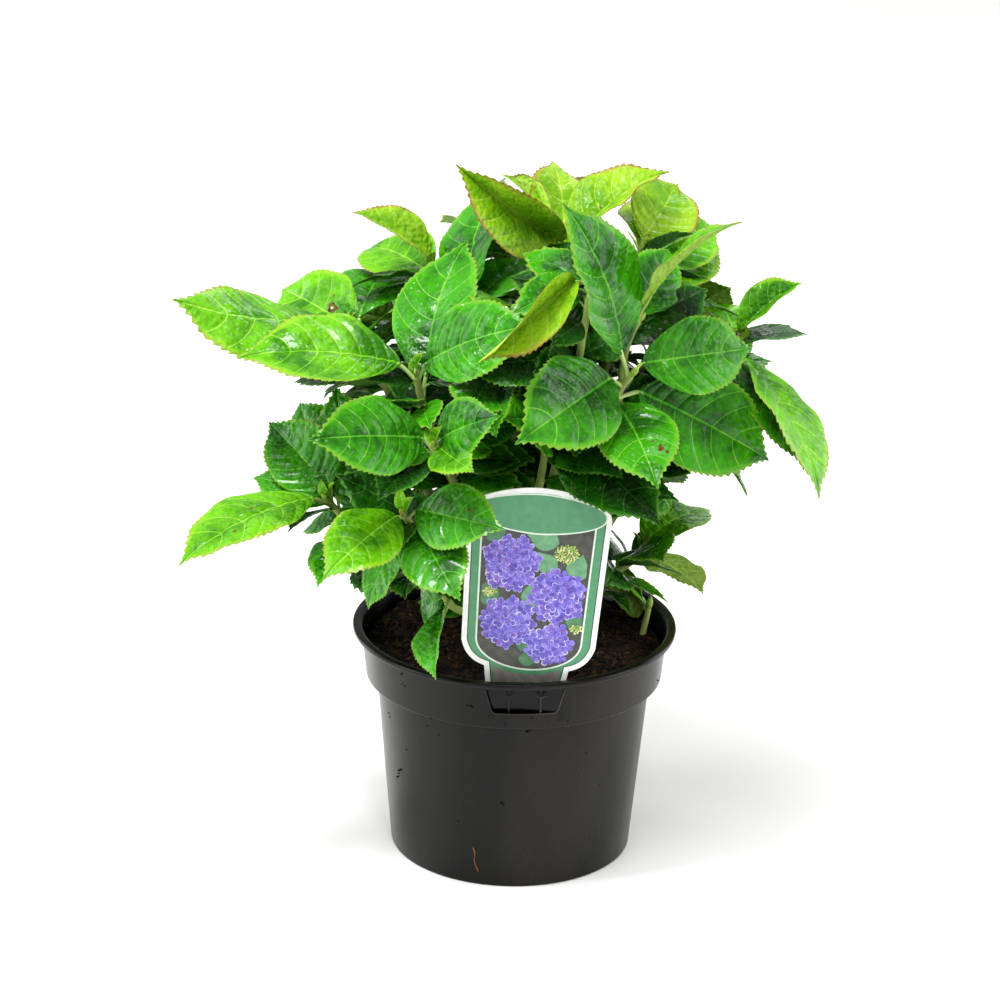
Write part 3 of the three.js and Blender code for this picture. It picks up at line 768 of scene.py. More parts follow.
def corners_of(node):
    """A finder of the corners of a node's solid, in millimetres."""
    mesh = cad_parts[node].data
    finder = kdtree.KDTree(len(mesh.vertices))
    for index, vertex in enumerate(mesh.vertices):
        finder.insert(vertex.co / MM, index)
    finder.balance()
    return finder


def grown_as(finder, stem, row):
    """The leaf with the swing that the solid shows, or None where the solid leaves it out."""
    best, most = None, FEWEST_MARKS
    for bearing, rise in SWINGS:
        leaf = Leaf(stem, (row[0], row[1] + bearing, row[2] + rise, *row[3:]))
        marks = sum(finder.find(mark)[2] < MARK_REACH for mark in leaf.landmarks())
        if marks > most:
            best, most = leaf, marks
    return best


def cane_of(foot, origin, apex):
    """A mass's cane, from its foot on the crown to its first apex."""
    ring, height, rise = ORIGINS[origin]
    start = direction(foot, 0) * ring
    start[2] = COMPOST_Z + COMPOST_CROWN + CROWN_HEIGHT * height
    return Stem(start, apex, rise, rise)


# Leaf blades

def spaced_rows(teeth, veins):
    """Rows from base to tip: two for each tooth, and a narrow pair for each vein."""
    rows = [row / (2 * teeth) for row in range(2 * teeth + 1)]
    rows = [row for row in rows if min(abs(row - vein) for vein in veins) > VEIN_CLEARANCE]
    return np.array(sorted(rows + [vein + half for vein in veins for half in (-VEIN_HALF, VEIN_HALF)]))


def drawn_out(m):
    """How a blade departs from the rule's outline: fuller in its outer half, then a drawn-out tip."""
    near_base, near_tip = np.clip(m / 0.36, 0, 1), np.clip((m - 0.83) / 0.1, 0, 1)
    return (0.95 * (0.86 + 0.14 * near_base) * (1 + 0.15 * np.exp(-((m - 0.74) / 0.12) ** 2))
            * (1 - 0.14 * near_tip ** 2 * (3 - 2 * near_tip)))


def saw_edge(m, teeth):
    """0 in the notch between two teeth, 1 at a tooth's point."""
    return 1 - np.abs(2 * np.mod(m * teeth, 1) - 1)


def drawn_blade(m, u, teeth, veins, first):
    """Corners of a flat blade: m is the place along a vein's arch, u the place across, first the rib's."""
    spread = np.abs(u)
    reach = BLADE_SIZE * BLADE_WIDTH * blade_outline(m) * drawn_out(m)
    rib = np.minimum(RIB_HALF * (1 - 0.6 * m), 0.3 * reach)
    x = np.where(spread < first, spread / first * rib,
                 rib + (reach - rib) * (spread - first) / (1 - first))
    # A row leaves the midrib further down than it meets the margin, as the veins do
    s = m ** 1.8
    arch = np.clip(m / 0.25, 0, 1)
    t = s + (m - s) * (spread * (1 - arch) + arch * (0.3 * spread + 0.7 * spread ** 2.2))
    tooth = (saw_edge(m, teeth) * np.clip((m - 0.08) / 0.12, 0, 1) * np.clip((1 - m) / 0.06, 0, 1)
             * (spread == 1))
    x = x + TOOTH_REACH * tooth
    t = t + TOOTH_LEAN / teeth * tooth
    # Quilting between the veins, which lie in grooves like the midrib
    bounds = np.concatenate([[0], veins, [1]])
    part = np.clip(np.searchsorted(bounds, m, side="right") - 1, 0, len(bounds) - 2)
    frac = (m - bounds[part]) / (bounds[part + 1] - bounds[part])
    swell = np.sin(np.pi * frac) * np.clip(spread / 0.25, 0.2, 1) * (1 - 0.6 * spread ** 3)
    z = QUILTING * swell - VEIN_GROOVE * (swell < 0.12) * (1 - spread ** 2)
    z = z - RIB_GROOVE * (spread < 0.01) * (1 - 0.7 * m)
    z = z - EDGE_DROP * spread ** 2 * reach / (BLADE_SIZE * BLADE_WIDTH) - TOOTH_DROP * tooth
    return np.stack([np.sign(u) * x, t * BLADE_SIZE, z], axis=1)


def give_keel(mesh):
    """Underneath, the midrib stands out as a keel that runs on from the petiole."""
    corners = corners_in(mesh)
    below = np.arange(len(corners)) >= len(corners) // 2
    keel = below & (np.abs(corners[:, 0]) < 0.02)
    corners[keel, 2] -= KEEL_DEPTH * np.clip(1 - corners[keel, 1] / BLADE_SIZE, 0, 1) ** 0.8 + 0.1
    mesh.vertices.foreach_set("co", corners.ravel())


def give_chart(mesh):
    """The blade's own map: how far out from the midrib a point is, and how far along it."""
    corners = corners_in(mesh)[[loop.vertex_index for loop in mesh.loops]]
    places = np.clip(corners[:, 1] / BLADE_SIZE, 0, 1)
    reach = np.maximum(BLADE_SIZE * BLADE_WIDTH * blade_outline(places), 0.5)
    spread = np.clip(np.abs(corners[:, 0]) / reach, 0, 1)
    chart = mesh.uv_layers.new(name="blade")
    chart.data.foreach_set("uv", np.stack([spread, places], axis=1).ravel())


def model_blade(name, teeth, vein_count, columns):
    """One flat blade: a grid drawn along its veins, toothed, quilted and thickened."""
    veins = np.linspace(*VEIN_SPAN, vein_count)
    rows = spaced_rows(teeth, veins)
    across = np.array([-u for u in columns[:0:-1]] + list(columns))
    bpy.ops.mesh.primitive_grid_add(
        x_subdivisions=len(across) - 1, y_subdivisions=len(rows) - 1, size=2, calc_uvs=False)
    blade = bpy.context.object
    mesh = blade.data
    grid = corners_in(mesh)
    column = np.rint((grid[:, 0] + 1) / 2 * (len(across) - 1)).astype(int)
    row = np.rint((grid[:, 1] + 1) / 2 * (len(rows) - 1)).astype(int)
    # Materials first, while every face still knows its column and row
    middle, last = len(columns) - 1, len(across) - 2
    for face in mesh.polygons:
        i = min(column[v] for v in face.vertices)
        j = min(row[v] for v in face.vertices)
        on_vein = min(abs((rows[j] + rows[j + 1]) / 2 - veins)) < 0.001
        if i in (0, last):
            face.material_index = MARGIN
        elif i in (middle - 1, middle) or on_vein:
            face.material_index = VEIN
    corners = drawn_blade(rows[row], across[column], teeth, veins, columns[1])
    mesh.vertices.foreach_set("co", corners.ravel())
    faced_outwards(blade, merge=0.02)
    if sum(face.normal.z for face in mesh.polygons) < 0:
        mesh.flip_normals()
    finishes = finishes_of("m")
    for finish in finishes:
        mesh.materials.append(finish)
    modified(blade, "SOLIDIFY", thickness=BLADE_THICKNESS, offset=-1,
             material_offset=len(finishes) // 2, use_even_offset=False)
    give_keel(mesh)
    give_chart(mesh)
    smoothed(blade, 55)
    blade.name = name
    return blade


def blemished(pattern, marks):
    """A copy of the pattern with holes bitten through and dry rings laid round them."""
    blade = twin(pattern)
    for x, y, _, hole in marks:
        if hole:
            bpy.ops.mesh.primitive_cylinder_add(vertices=11, radius=hole, depth=12, location=(x, y, 0))
            tool = settle(bpy.context.object)
            for vertex in tool.data.vertices:
                vertex.co.x += 0.25 * hole * math.sin(2.3 * vertex.co.y)
            blade = cut(blade, tool)
    tree = BVHTree.FromObject(blade, bpy.context.evaluated_depsgraph_get())
    corners, faces = [], []
    steps = 22
    for x, y, ring, hole in marks:
        start = len(corners)
        for share in (hole / ring if hole else 0.05, 0.6, 1):
            for step in range(steps):
                angle = 2 * math.pi * step / steps
                reach = ring * share * (1 + 0.16 * math.sin(3 * angle + x) + 0.1 * math.sin(5 * angle))
                at = Vector((x + reach * math.cos(angle) * 0.85, y + reach * math.sin(angle), 9))
                hit = tree.ray_cast(at, Vector((0, 0, -1)))[0]
                corners.append((at.x, at.y, (hit.z if hit else 0) + 0.12 * (1 - share) + 0.02))
        for low in (start, start + steps):
            faces += band(low, low + steps, steps)
    rings = piece_of("dry_rings", corners, faces)
    modified(rings, "SOLIDIFY", thickness=0.1, offset=-1)
    if sum(face.normal.z for face in rings.data.polygons[:steps]) < 0:
        rings.data.flip_normals()
    blade.data.materials.append(blemish_finish())
    for finish in blade.data.materials:
        rings.data.materials.append(finish)
    for face in rings.data.polygons:
        face.material_index = len(rings.data.materials) - 1
    rings.data.uv_layers.new(name="blade")
    return joined([blade, rings], "blemished_pattern")


def unfurl(blade, leaf, tint, luck):
    """A copy of the flat blade bent onto its leaf's frame, with its own wave, droop and curl."""
    piece = twin(blade)
    for index, finish in enumerate(finishes_of(tint)):
        piece.data.materials[index] = finish
    flat = corners_in(piece.data) * leaf.length / BLADE_SIZE
    x, t, z = flat[:, 0], np.clip(flat[:, 1] / leaf.length, 0, 1.001), flat[:, 2]
    spread = np.abs(x) / (BLADE_WIDTH * leaf.length)
    waves = [
        sum(luck.uniform(0.3, 1) * np.sin(2 * np.pi * (rate * t + luck.random())) for rate in (1.3, 2.6))
        for _ in range(2)]
    z = z + WAVE * leaf.length * spread ** 2 * np.where(x > 0, *waves)
    z = z + leaf.length * luck.uniform(-0.05, 0.04) * spread ** 2
    z = z - leaf.length * luck.uniform(0.0, 0.04) * t ** 4
    start = luck.uniform(0, 50)
    buckle = [noise.noise((a * 0.055 + start, b * 5, start)) for a, b in zip(x, t)]
    z = z + BUCKLE * leaf.length * np.array(buckle) * np.minimum(1, 3 * spread)
    x = x + leaf.length * luck.uniform(-0.02, 0.02) * np.sin(np.pi * t)
    point, side, _, normal = leaf.frame(t)
    lean = math.radians(leaf.fold)
    placed = (point + side * (x * math.cos(lean))[:, None]
              + normal * (np.abs(x) * math.sin(lean) + z)[:, None])
    piece.data.vertices.foreach_set("co", (placed * MM).ravel())
    return piece


def petiole_path(leaf):
    """From the node to the blade's base and round the bend, to where the blade's keel takes over."""
    size = leaf.length / 85
    bend = 3 * size
    t = np.linspace(bend / leaf.length, 0.12, 4)
    point, _, _, normal = leaf.frame(t)
    thick = np.array([1.1, 0.95, 0.75, 0.4]) * size
    under = point - normal * (0.5 + thick * 0.8)[:, None]
    before = leaf.base - leaf.start * bend - leaf.face * 0.6 * size
    points = [leaf.node * (1 - f) + before * f for f in (0, 0.25, 0.6, 1)]
    points += [(1 - f) ** 2 * before + 2 * f * (1 - f) * (leaf.base - leaf.face * size) + f * f * under[0]
               for f in (0.3, 0.7)]
    radii = [1.75 * size, 1.35 * size, 1.2 * size, 1.2 * size, 1.25 * size, 1.25 * size, *thick]
    return points + list(under), radii


def tube_set(name, paths, sides, finish):
    """Many tubes of changing thickness as one mesh: curve splines given a round bevel."""
    curve = bpy.data.curves.new(name, "CURVE")
    curve.dimensions = "3D"
    curve.bevel_depth = MM
    curve.bevel_resolution = sides // 2 - 2
    curve.use_fill_caps = True
    for points, radii in paths:
        spline = curve.splines.new("POLY")
        spline.points.add(len(points) - 1)
        for knot, point, radius in zip(spline.points, points, radii):
            knot.co = (*(np.array(point) * MM), 1)
            knot.radius = radius
    piece = bpy.data.objects.new(name, curve)
    bpy.context.collection.objects.link(piece)
    lone(piece)
    bpy.ops.object.convert(target="MESH")
    piece = bpy.context.object
    piece.data.materials.clear()
    piece.data.materials.append(finish)
    for face in piece.data.polygons:
        face.material_index = 0
    return smoothed(faced_outwards(piece), 60)


def cane_path(stem, leaves, foot_radius, tip_radius):
    """Points along a stem, thinner upwards and swollen where its leaves stand."""
    points, radii = [], []
    for share in np.linspace(0, 1, max(12, int(stem.span / 2.2))):
        radius = foot_radius + (tip_radius - foot_radius) * share
        for leaf in leaves:
            near = (share - leaf.share) * stem.span / NODE_REACH
            radius += NODE_SWELL * math.exp(-near * near) / max(1, len(leaves) / 2)
        points.append(stem.at(share))
        radii.append(radius)
    return points, radii


# The plant

Shoot = namedtuple("Shoot", "mass number stem first leaves")


class Plant:
    """What has grown: the shoots, the blades of each mass, and all the petioles."""

    def __init__(self, luck):
        self.luck = luck
        self.patterns = {
            "large": model_blade(
                "leaf_pattern", 24, 7, (0, 0.02, 0.14, 0.28, 0.43, 0.58, 0.72, 0.86, 0.982, 1)),
            "inner": model_blade("inner_leaf_pattern", 13, 5, (0, 0.03, 0.34, 0.97, 1)),
            "young": model_blade("young_leaf_pattern", 10, 4, (0, 0.04, 0.4, 0.95, 1)),
        }
        self.shoots, self.blades, self.petioles = [], {}, []

    def lay(self, mass, pattern, leaf, tint):
        """Lay a leaf's blade and petiole on the plant."""
        self.blades.setdefault(mass, []).append(unfurl(pattern, leaf, tint, self.luck))
        self.petioles.append(petiole_path(leaf))

    def grow_shoot(self, mass, number, stem, tints, rows, finder):
        """One shoot of a mass: its leaves as the solid shows them, and a young pair at its apex."""
        rows = paired_rows(rows) if isinstance(rows, int) else rows
        shoot = Shoot(mass, number, stem, rows[0][1], [])
        self.shoots.append(shoot)
        for place, (tint, row) in enumerate(zip(tints, rows)):
            leaf = grown_as(finder, stem, row)
            if leaf is None:
                continue
            if (mass, number, place) in CARRIAGE:
                leaf.carried(*CARRIAGE[mass, number, place])
            shoot.leaves.append(leaf)
            if (mass, number, place) in BLEMISHES:
                pattern = blemished(self.patterns["large"], BLEMISHES[mass, number, place])
                self.lay(mass, pattern, leaf, tint)
                bpy.data.objects.remove(pattern)
            else:
                self.lay(mass, self.patterns["large"], leaf, tint)
        if mass in SHY:
            return
        for half in (90, 270):
            length = self.luck.uniform(*YOUNG_LENGTHS)
            bearing = shoot.first + half + self.luck.uniform(-25, 25)
            young = Leaf(stem, (0.5, bearing, self.luck.uniform(*YOUNG_RISES), length, 0, YOUNG_FOLD))
            self.lay(mass, self.patterns["young"], young, "y" if "y" in tints else "l")


def grow_plant():
    """The shrub: its masses by the rule, the leaves that fill it, the basal shoot, stems and buds."""
    plant = Plant(random.Random(11))
    for name, foot, origin, shoots in MASSES:
        finder = corners_of(f"foliage_{name}")
        cane = cane_of(foot, origin, shoots[0][0])
        for number, (apex, tints, rows) in enumerate(shoots):
            stem = cane if number == 0 else Stem(cane.at(FORK_SHARE), apex, *FORK_RISES)
            plant.grow_shoot(name, number, stem, tints, rows, finder)
    fill_crown(plant)
    for name, *_ in MASSES:
        mount(joined(plant.blades[name], f"leaves_{name}"), "leaves", f"foliage_{name}")
    basal = Stem(BASAL_FOOT, BASAL_APEX, BASAL_RISE, BASAL_RISE)
    for row in BASAL_LEAVES:
        plant.lay("basal_shoot", plant.patterns["large"], Leaf(basal, row), "l")
    mount(joined(plant.blades["basal_shoot"], "leaves_basal_shoot"), "leaves", "basal_shoot")
    canes = [cane_path(shoot.stem, shoot.leaves, *(FORK_RADII if shoot.number else CANE_RADII))
             for shoot in plant.shoots]
    canes.append(cane_path(basal, [], *BASAL_RADII))
    boughs = [f"bough_{name}" for name, *_ in MASSES]
    mount(tube_set("canes", canes, 12, stem_finish()), "stems", *boughs)
    mount(tube_set("petioles", plant.petioles, 8, petiole_finish()), "leaves")
    mount(model_buds([shoot.stem for shoot in plant.shoots] + [basal], plant.luck), "leaves")
    for pattern in plant.patterns.values():
        bpy.data.objects.remove(pattern)


def rough_shape(corners, faces):
    """A coarse tree of faces with its two outermost corners, to tell whether a leaf finds room."""
    return BVHTree.FromPolygons(corners, faces), np.min(corners, axis=0), np.max(corners, axis=0)


def rough_blade(leaf):
    """Three rails along the blade, and a thin face for the petiole."""
    t = np.linspace(0, 1, 8)
    count = len(t)
    point, side, _, normal = leaf.frame(t)
    half = (BLADE_WIDTH * leaf.length * blade_outline(t))[:, None]
    lean = math.radians(leaf.fold)
    rails = [point + (side * math.cos(lean) * way + normal * math.sin(lean) * abs(way)) * half
             for way in (-1, 0, 1)]
    corners = [tuple(row) for rail in rails for row in rail]
    corners += [tuple(leaf.node), tuple(leaf.base + leaf.side), tuple(leaf.base - leaf.side)]
    faces = [(a + k, a + k + 1, a + k + count + 1, a + k + count)
             for a in (0, count) for k in range(count - 1)]
    faces.append((3 * count, 3 * count + 1, 3 * count + 2))
    return rough_shape(corners, faces)


def rough_stem(stem):
    """A three-sided stick about 4 mm thick."""
    ring = [np.array(offset) for offset in ([2, 0, 0], [-1, 1.7, 0], [-1, -1.7, 0])]
    knots = [stem.at(share) for share in np.linspace(0.02, 1, 16)]
    corners = [tuple(knot + offset) for knot in knots for offset in ring]
    faces = [(3 * k + a, 3 * k + b, 3 * k + 3 + b, 3 * k + 3 + a)
             for k in range(len(knots) - 1) for a, b in ((0, 1), (1, 2), (2, 0))]
    return rough_shape(corners, faces)


def clear_of(candidate, standing, own):
    """Whether a rough shape cuts into nothing that stands, but for the stem that bears it."""
    tree, low, high = candidate
    for owner, (other, other_low, other_high) in standing:
        if owner is not own and np.all(low < other_high) and np.all(high > other_low):
            if tree.overlap(other):
                return False
    return True


def before_label(low, high):
    """Whether a leaf between two corners would stand in the label's space."""
    return (low[1] < LABEL_SPACE_Y and low[2] < LABEL_SPACE_TOP
            and low[0] < POCKET_X + LABEL_SPACE_HALF and high[0] > POCKET_X - LABEL_SPACE_HALF)


def find_room(stem, row, box, front, standing):
    """The first swing that brings a filling leaf clear: the leaf and its rough shape, or None."""
    below, bearing, rise, length = row
    for swing, lift in SWINGS + FILL_SWINGS:
        leaf = Leaf(stem, (below, bearing + swing, rise + lift, length))
        shape = rough_blade(leaf)
        _, low, high = shape
        within = (np.all(low > box[0] - FILL_MARGIN) and np.all(high < box[1] + FILL_MARGIN)
                  and low[1] >= front and low[2] > FILL_FLOOR and not before_label(low, high))
        if within and clear_of(shape, standing, stem):
            return leaf, shape
    return None


def fill_crown(plant):
    """Smaller, darker pairs further down each stem close the crown, where they find room; their darker tint
    is partly painted shade.
    """
    luck = plant.luck
    standing = [(shoot.stem, rough_stem(shoot.stem)) for shoot in plant.shoots]
    standing += [(None, rough_blade(leaf)) for shoot in plant.shoots for leaf in shoot.leaves]
    for pattern, sizes, steps in FILL_ROUNDS:
        for shoot in plant.shoots:
            stem = shoot.stem
            box = [np.array(corner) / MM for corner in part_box(f"foliage_{shoot.mass}")]
            if pattern == "young":
                below, turn, front = FILL_DROP, shoot.first, YOUNG_FRONT.get(shoot.mass, -math.inf)
            else:
                lowest = max(((1 - leaf.share) * stem.span for leaf in shoot.leaves), default=3)
                below, turn, front = lowest + FILL_DROP, shoot.first + 45, -math.inf
            while below < (FORK_FILLED if shoot.number else CANE_FILLED) * stem.span:
                for half in (0, 180):
                    length = luck.uniform(*sizes)
                    row = (below, turn + half, luck.uniform(*FILL_RISES), length)
                    found = find_room(stem, row, box, front, standing)
                    if found:
                        leaf, shape = found
                        shoot.leaves.append(leaf)
                        standing.append((None, shape))
                        # Mostly the darkest tint: partly the old leaves' own deep green, partly painted
                        # shade inside the crown
                        plant.lay(shoot.mass, plant.patterns[pattern], leaf, luck.choice("ddm"))
                below += luck.uniform(*steps)
                turn += 90


def model_buds(stems, luck):
    """A pointed bud between two scales closes each apex."""
    bpy.ops.mesh.primitive_uv_sphere_add(segments=10, ring_count=9, radius=1)
    bud = bpy.context.object
    for vertex in bud.data.vertices:
        height = (vertex.co.z + 1) / 2
        waist = (1 - height) ** 0.35 * (0.75 + 0.5 * height)
        lobe = 1 + 0.12 * math.cos(2 * math.atan2(vertex.co.y, vertex.co.x))
        vertex.co.x *= BUD_HALF * waist * lobe
        vertex.co.y *= BUD_HALF * waist * lobe
        vertex.co.z = BUD_LENGTH * height - BUD_SUNK
    bud.data.materials.append(bud_finish())
    buds = []
    for stem in stems:
        if tuple(stem.apex) == BURIED_APEX:
            continue
        copy = twin(bud)
        way = Vector(stem.apex - stem.at(0.97)).normalized()
        turn = way.to_track_quat("Z", "Y").to_matrix().to_4x4()
        spin = Matrix.Rotation(luck.uniform(0, math.pi), 4, "Z")
        place = Matrix.Translation(Vector(stem.apex) * MM) @ turn @ spin @ Matrix.Scale(
            MM * luck.uniform(0.8, 1.05), 4)
        copy.data.transform(place)
        buds.append(copy)
    bpy.data.objects.remove(bud)
    return smoothed(joined(buds, "end_buds"), 60)


def model_crown():
    """The short woody rootstock: a knobbly flared stump that the canes spring from."""
    foot = COMPOST_Z + COMPOST_CROWN - 1.5
    profile = [
        (CROWN_FLARE - 1, 0), (CROWN_FLARE - 2, 4), (CROWN_RADIUS + 0.5, 9), (CROWN_RADIUS, 14),
        (CROWN_RADIUS - 1, 20), (CROWN_RADIUS - 2.5, 24), (CROWN_RADIUS * 0.6, CROWN_HEIGHT),
        (CROWN_RADIUS * 0.25, CROWN_HEIGHT + 0.5),
    ]
    crown = drawn_up([(radius, foot + height) for radius, height in profile], 48)
    crown = modified(crown, "SUBSURF", levels=1, render_levels=1)
    for vertex in crown.data.vertices:
        place = vertex.co / MM
        swell = noise.fractal(place * 0.12, 0.8, 2.2, 4) * 1.4
        swell += 0.7 * math.sin(7 * math.atan2(place.y, place.x)) - 0.6
        level = Vector((place.x, place.y, 0))
        if level.length > 1:
            vertex.co += level.normalized() * swell * MM * min(1, level.length / 12)
    crown.name = "rootstock"
    crown.data.materials.append(wood_finish())
    mount(smoothed(crown, 60), "stems", "crown")


# The pot

def rounded(profile, steps=5):
    """Corners of a profile of (radius, height, rounding) points turned into arcs."""
    points = []
    for index, (x, y, rounding) in enumerate(profile):
        here = Vector((x, y))
        if not rounding:
            points.append((x, y))
            continue
        before = (Vector(profile[index - 1][:2]) - here).normalized()
        after = (Vector(profile[index + 1][:2]) - here).normalized()
        for step in range(steps + 1):
            f = step / steps
            start, end = here + before * rounding, here + after * rounding
            point = start * (1 - f) ** 2 + here * 2 * f * (1 - f) + end * f * f
            points.append((point.x, point.y))
    return points


def block(low, high, rounding=0.0):
    """A block between two corners in millimetres, with its edges eased."""
    bpy.ops.mesh.primitive_cube_add(size=1, location=[(a + b) / 2 * MM for a, b in zip(low, high)])
    piece = bpy.context.object
    piece.scale = [(b - a) * MM for a, b in zip(low, high)]
    settle(piece)
    if rounding:
        modified(piece, "BEVEL", width=rounding * MM, segments=3)
    return piece


def pot_part(face):
    """The finish that a face of the pot takes: 0 body, 1 the pocket's wall, 2 a rib, 3 lip and inside."""
    at = face.center / MM
    across = abs(at.x - POCKET_X)
    out = math.hypot(at.x, at.y)
    inward = face.normal.x * at.x + face.normal.y * at.y < -0.5 * out
    square = max(abs(face.normal.x), abs(face.normal.y)) > 0.99999
    if (square and across < POCKET_WIDTH / 2 and POCKET_BOTTOM - 2 < at.z < LIP_BOTTOM - 0.5
            and PANEL_FRONT - RIB_DEPTH - 0.2 < at.y < PANEL_FRONT + 0.1):
        return 2 if abs(across - RIB_PITCH / 2) < RIB_WIDTH / 2 + 0.1 else 1
    return 3 if inward or at.z > LIP_BOTTOM - 0.1 else 0


def model_pot():
    """The turned pot with the label pocket let into its collar and the holes in its floor."""
    profile = rounded([
        (BASE_RADIUS - 4, 0, 0), (BASE_RADIUS, 0, 1.4),
        (LEDGE_RADIUS - 0.2, LEDGE_Z - 3.2, 0), (LEDGE_RADIUS + 0.25, LEDGE_Z - 2.9, 0),
        (LEDGE_RADIUS + 0.3, LEDGE_Z - 2.2, 0), (LEDGE_RADIUS, LEDGE_Z, 0.9),
        (COLLAR_FOOT_RADIUS, LEDGE_Z, 1.2), (COLLAR_TOP_RADIUS, LIP_BOTTOM, 0.8),
        (LIP_RADIUS, LIP_BOTTOM, 1.3), (LIP_RADIUS, POT_HEIGHT, 1.3),
        (COLLAR_TOP_RADIUS, POT_HEIGHT, 1.4), (COLLAR_TOP_RADIUS - WALL, POT_HEIGHT - 3, 0),
        (COLLAR_FOOT_RADIUS - WALL, LEDGE_Z + WALL, 1), (LEDGE_RADIUS - WALL, LEDGE_Z - WALL, 0),
        (BASE_RADIUS - WALL, FLOOR_THICKNESS, 0), (BASE_RADIUS - 8, FLOOR_THICKNESS, 0),
    ])
    pot = drawn_up(profile, POT_STEPS)
    near, far = ([Vector((POCKET_X + x, y, z)) * MM for x, z in window_outline()]
                 for y in (-LIP_RADIUS - 2, PANEL_BACK))
    pot = cut(pot, prism("window", near, far))
    trim = COLLAR_TOP_RADIUS - 1
    panel = cut(
        block((POCKET_X - PANEL_WIDTH / 2, PANEL_FRONT, PANEL_BOTTOM),
              (POCKET_X + PANEL_WIDTH / 2, PANEL_BACK, LIP_BOTTOM)),
        drawn_up([(trim, 0), (trim, POT_HEIGHT)], 96), "INTERSECT")
    pot = cut(pot, panel, "UNION")
    for x in RIB_PLACES:
        pot = cut(pot, block(
            (x - RIB_WIDTH / 2, PANEL_FRONT - RIB_DEPTH, POCKET_BOTTOM - 1),
            (x + RIB_WIDTH / 2, PANEL_FRONT + 1, POCKET_TOP + 1), 0.3), "UNION")
    for hole in range(DRAIN_HOLES):
        at = direction((hole + 0.5) * 360 / DRAIN_HOLES, 0) * DRAIN_CIRCLE * MM
        bpy.ops.mesh.primitive_cylinder_add(
            vertices=32, radius=DRAIN_RADIUS * MM, depth=4 * FLOOR_THICKNESS * MM, location=tuple(at))
        pot = cut(pot, settle(bpy.context.object))
    pot.name = "nursery_pot"
    finishes = pot_finishes()
    for finish in finishes:
        pot.data.materials.append(finish)
    for face in pot.data.polygons:
        face.material_index = pot_part(face)
    mount(smoothed(pot, 35), "pot", "pot")
    # The bead and cups take the ribs' lighter grey, a painted highlight
    model_pocket_trim(finishes[2])
    model_soiling()


def collar_radius(height):
    """How far out the pot's wall stands at a height."""
    if height < LEDGE_Z:
        return BASE_RADIUS + (LEDGE_RADIUS - BASE_RADIUS) * height / LEDGE_Z
    rise = (height - LEDGE_Z) / (LIP_BOTTOM - LEDGE_Z)
    return COLLAR_FOOT_RADIUS + (COLLAR_TOP_RADIUS - COLLAR_FOOT_RADIUS) * rise


def window_outline():
    """The pocket's window from the front: narrower below, with rounded lower corners."""
    low, wide, narrow, turn = POCKET_BOTTOM - 0.8, POCKET_WIDTH / 2 - 0.4, POCKET_WIDTH / 2 - 4.4, 3
    left = [(-wide, POCKET_TOP), (-narrow - 0.7, low + turn)]
    left += bent_line(left[-1], (-narrow, low), (-narrow + turn, low), 6)
    return left + [(-x, z) for x, z in reversed(left)]


def model_pocket_trim(finish):
    """The thin bead round the window and a small cup on top of each rib, in the ribs' lighter grey of
    painted highlight.
    """
    corners = [Vector(corner) for corner in window_outline()]
    route = []
    for here, there in zip(corners, corners[1:]):
        steps = max(1, int((there - here).length / 1.5))
        route += [here.lerp(there, step / steps) for step in range(steps)]
    route.append(corners[-1])
    bead = []
    for x, z in route:
        out = collar_radius(z) + 0.1
        bead.append((POCKET_X + x, -math.sqrt(out ** 2 - (POCKET_X + x) ** 2), z))
    paths = [(bead, [0.32] * len(bead))]
    for x in RIB_PLACES:
        cup = [(x + 2.9 * f, PANEL_FRONT - 2.6 - 0.6 * (1 - f * f),
                POCKET_TOP - 2.9 - 1.5 * (1 - abs(f)) ** 0.8)
               for f in (step / 6 for step in range(-6, 7))]
        paths.append((cup, [0.3 + 0.35 * (1 - abs(step) / 7) for step in range(-6, 7)]))
    mount(tube_set("pocket_trim", paths, 8, finish), "pot")


def model_grain():
    """The corners and faces of one grain, before it is turned and stretched."""
    bpy.ops.mesh.primitive_ico_sphere_add(subdivisions=1, radius=1)
    grain = bpy.context.object
    corners, sides = corners_in(grain.data), [list(face.vertices) for face in grain.data.polygons]
    bpy.data.objects.remove(grain)
    return corners, np.array(sides)


class Grains:
    """Rough grains gathered in one mesh."""

    def __init__(self):
        self.shape, self.sides = model_grain()
        self.corners, self.faces = [], []

    def add(self, luck, size, place):
        """One more grain of its own shape and turn, at a place in metres; says how many faces it has."""
        rough = self.shape * (1 + 0.25 * np.array([[luck.uniform(-1, 1)] for _ in self.shape]))
        stretch = np.array([1, luck.uniform(0.4, 0.9), luck.uniform(0.25, 0.6)]) * size
        turn = np.array(Matrix.Rotation(luck.uniform(0, 6.28), 3, "Z")
                        @ Matrix.Rotation(luck.uniform(-0.6, 0.6), 3, "X"))
        self.faces.extend((self.sides + len(self.corners)).tolist())
        self.corners.extend(((rough * stretch) @ turn.T * MM + place).tolist())
        return len(self.sides)


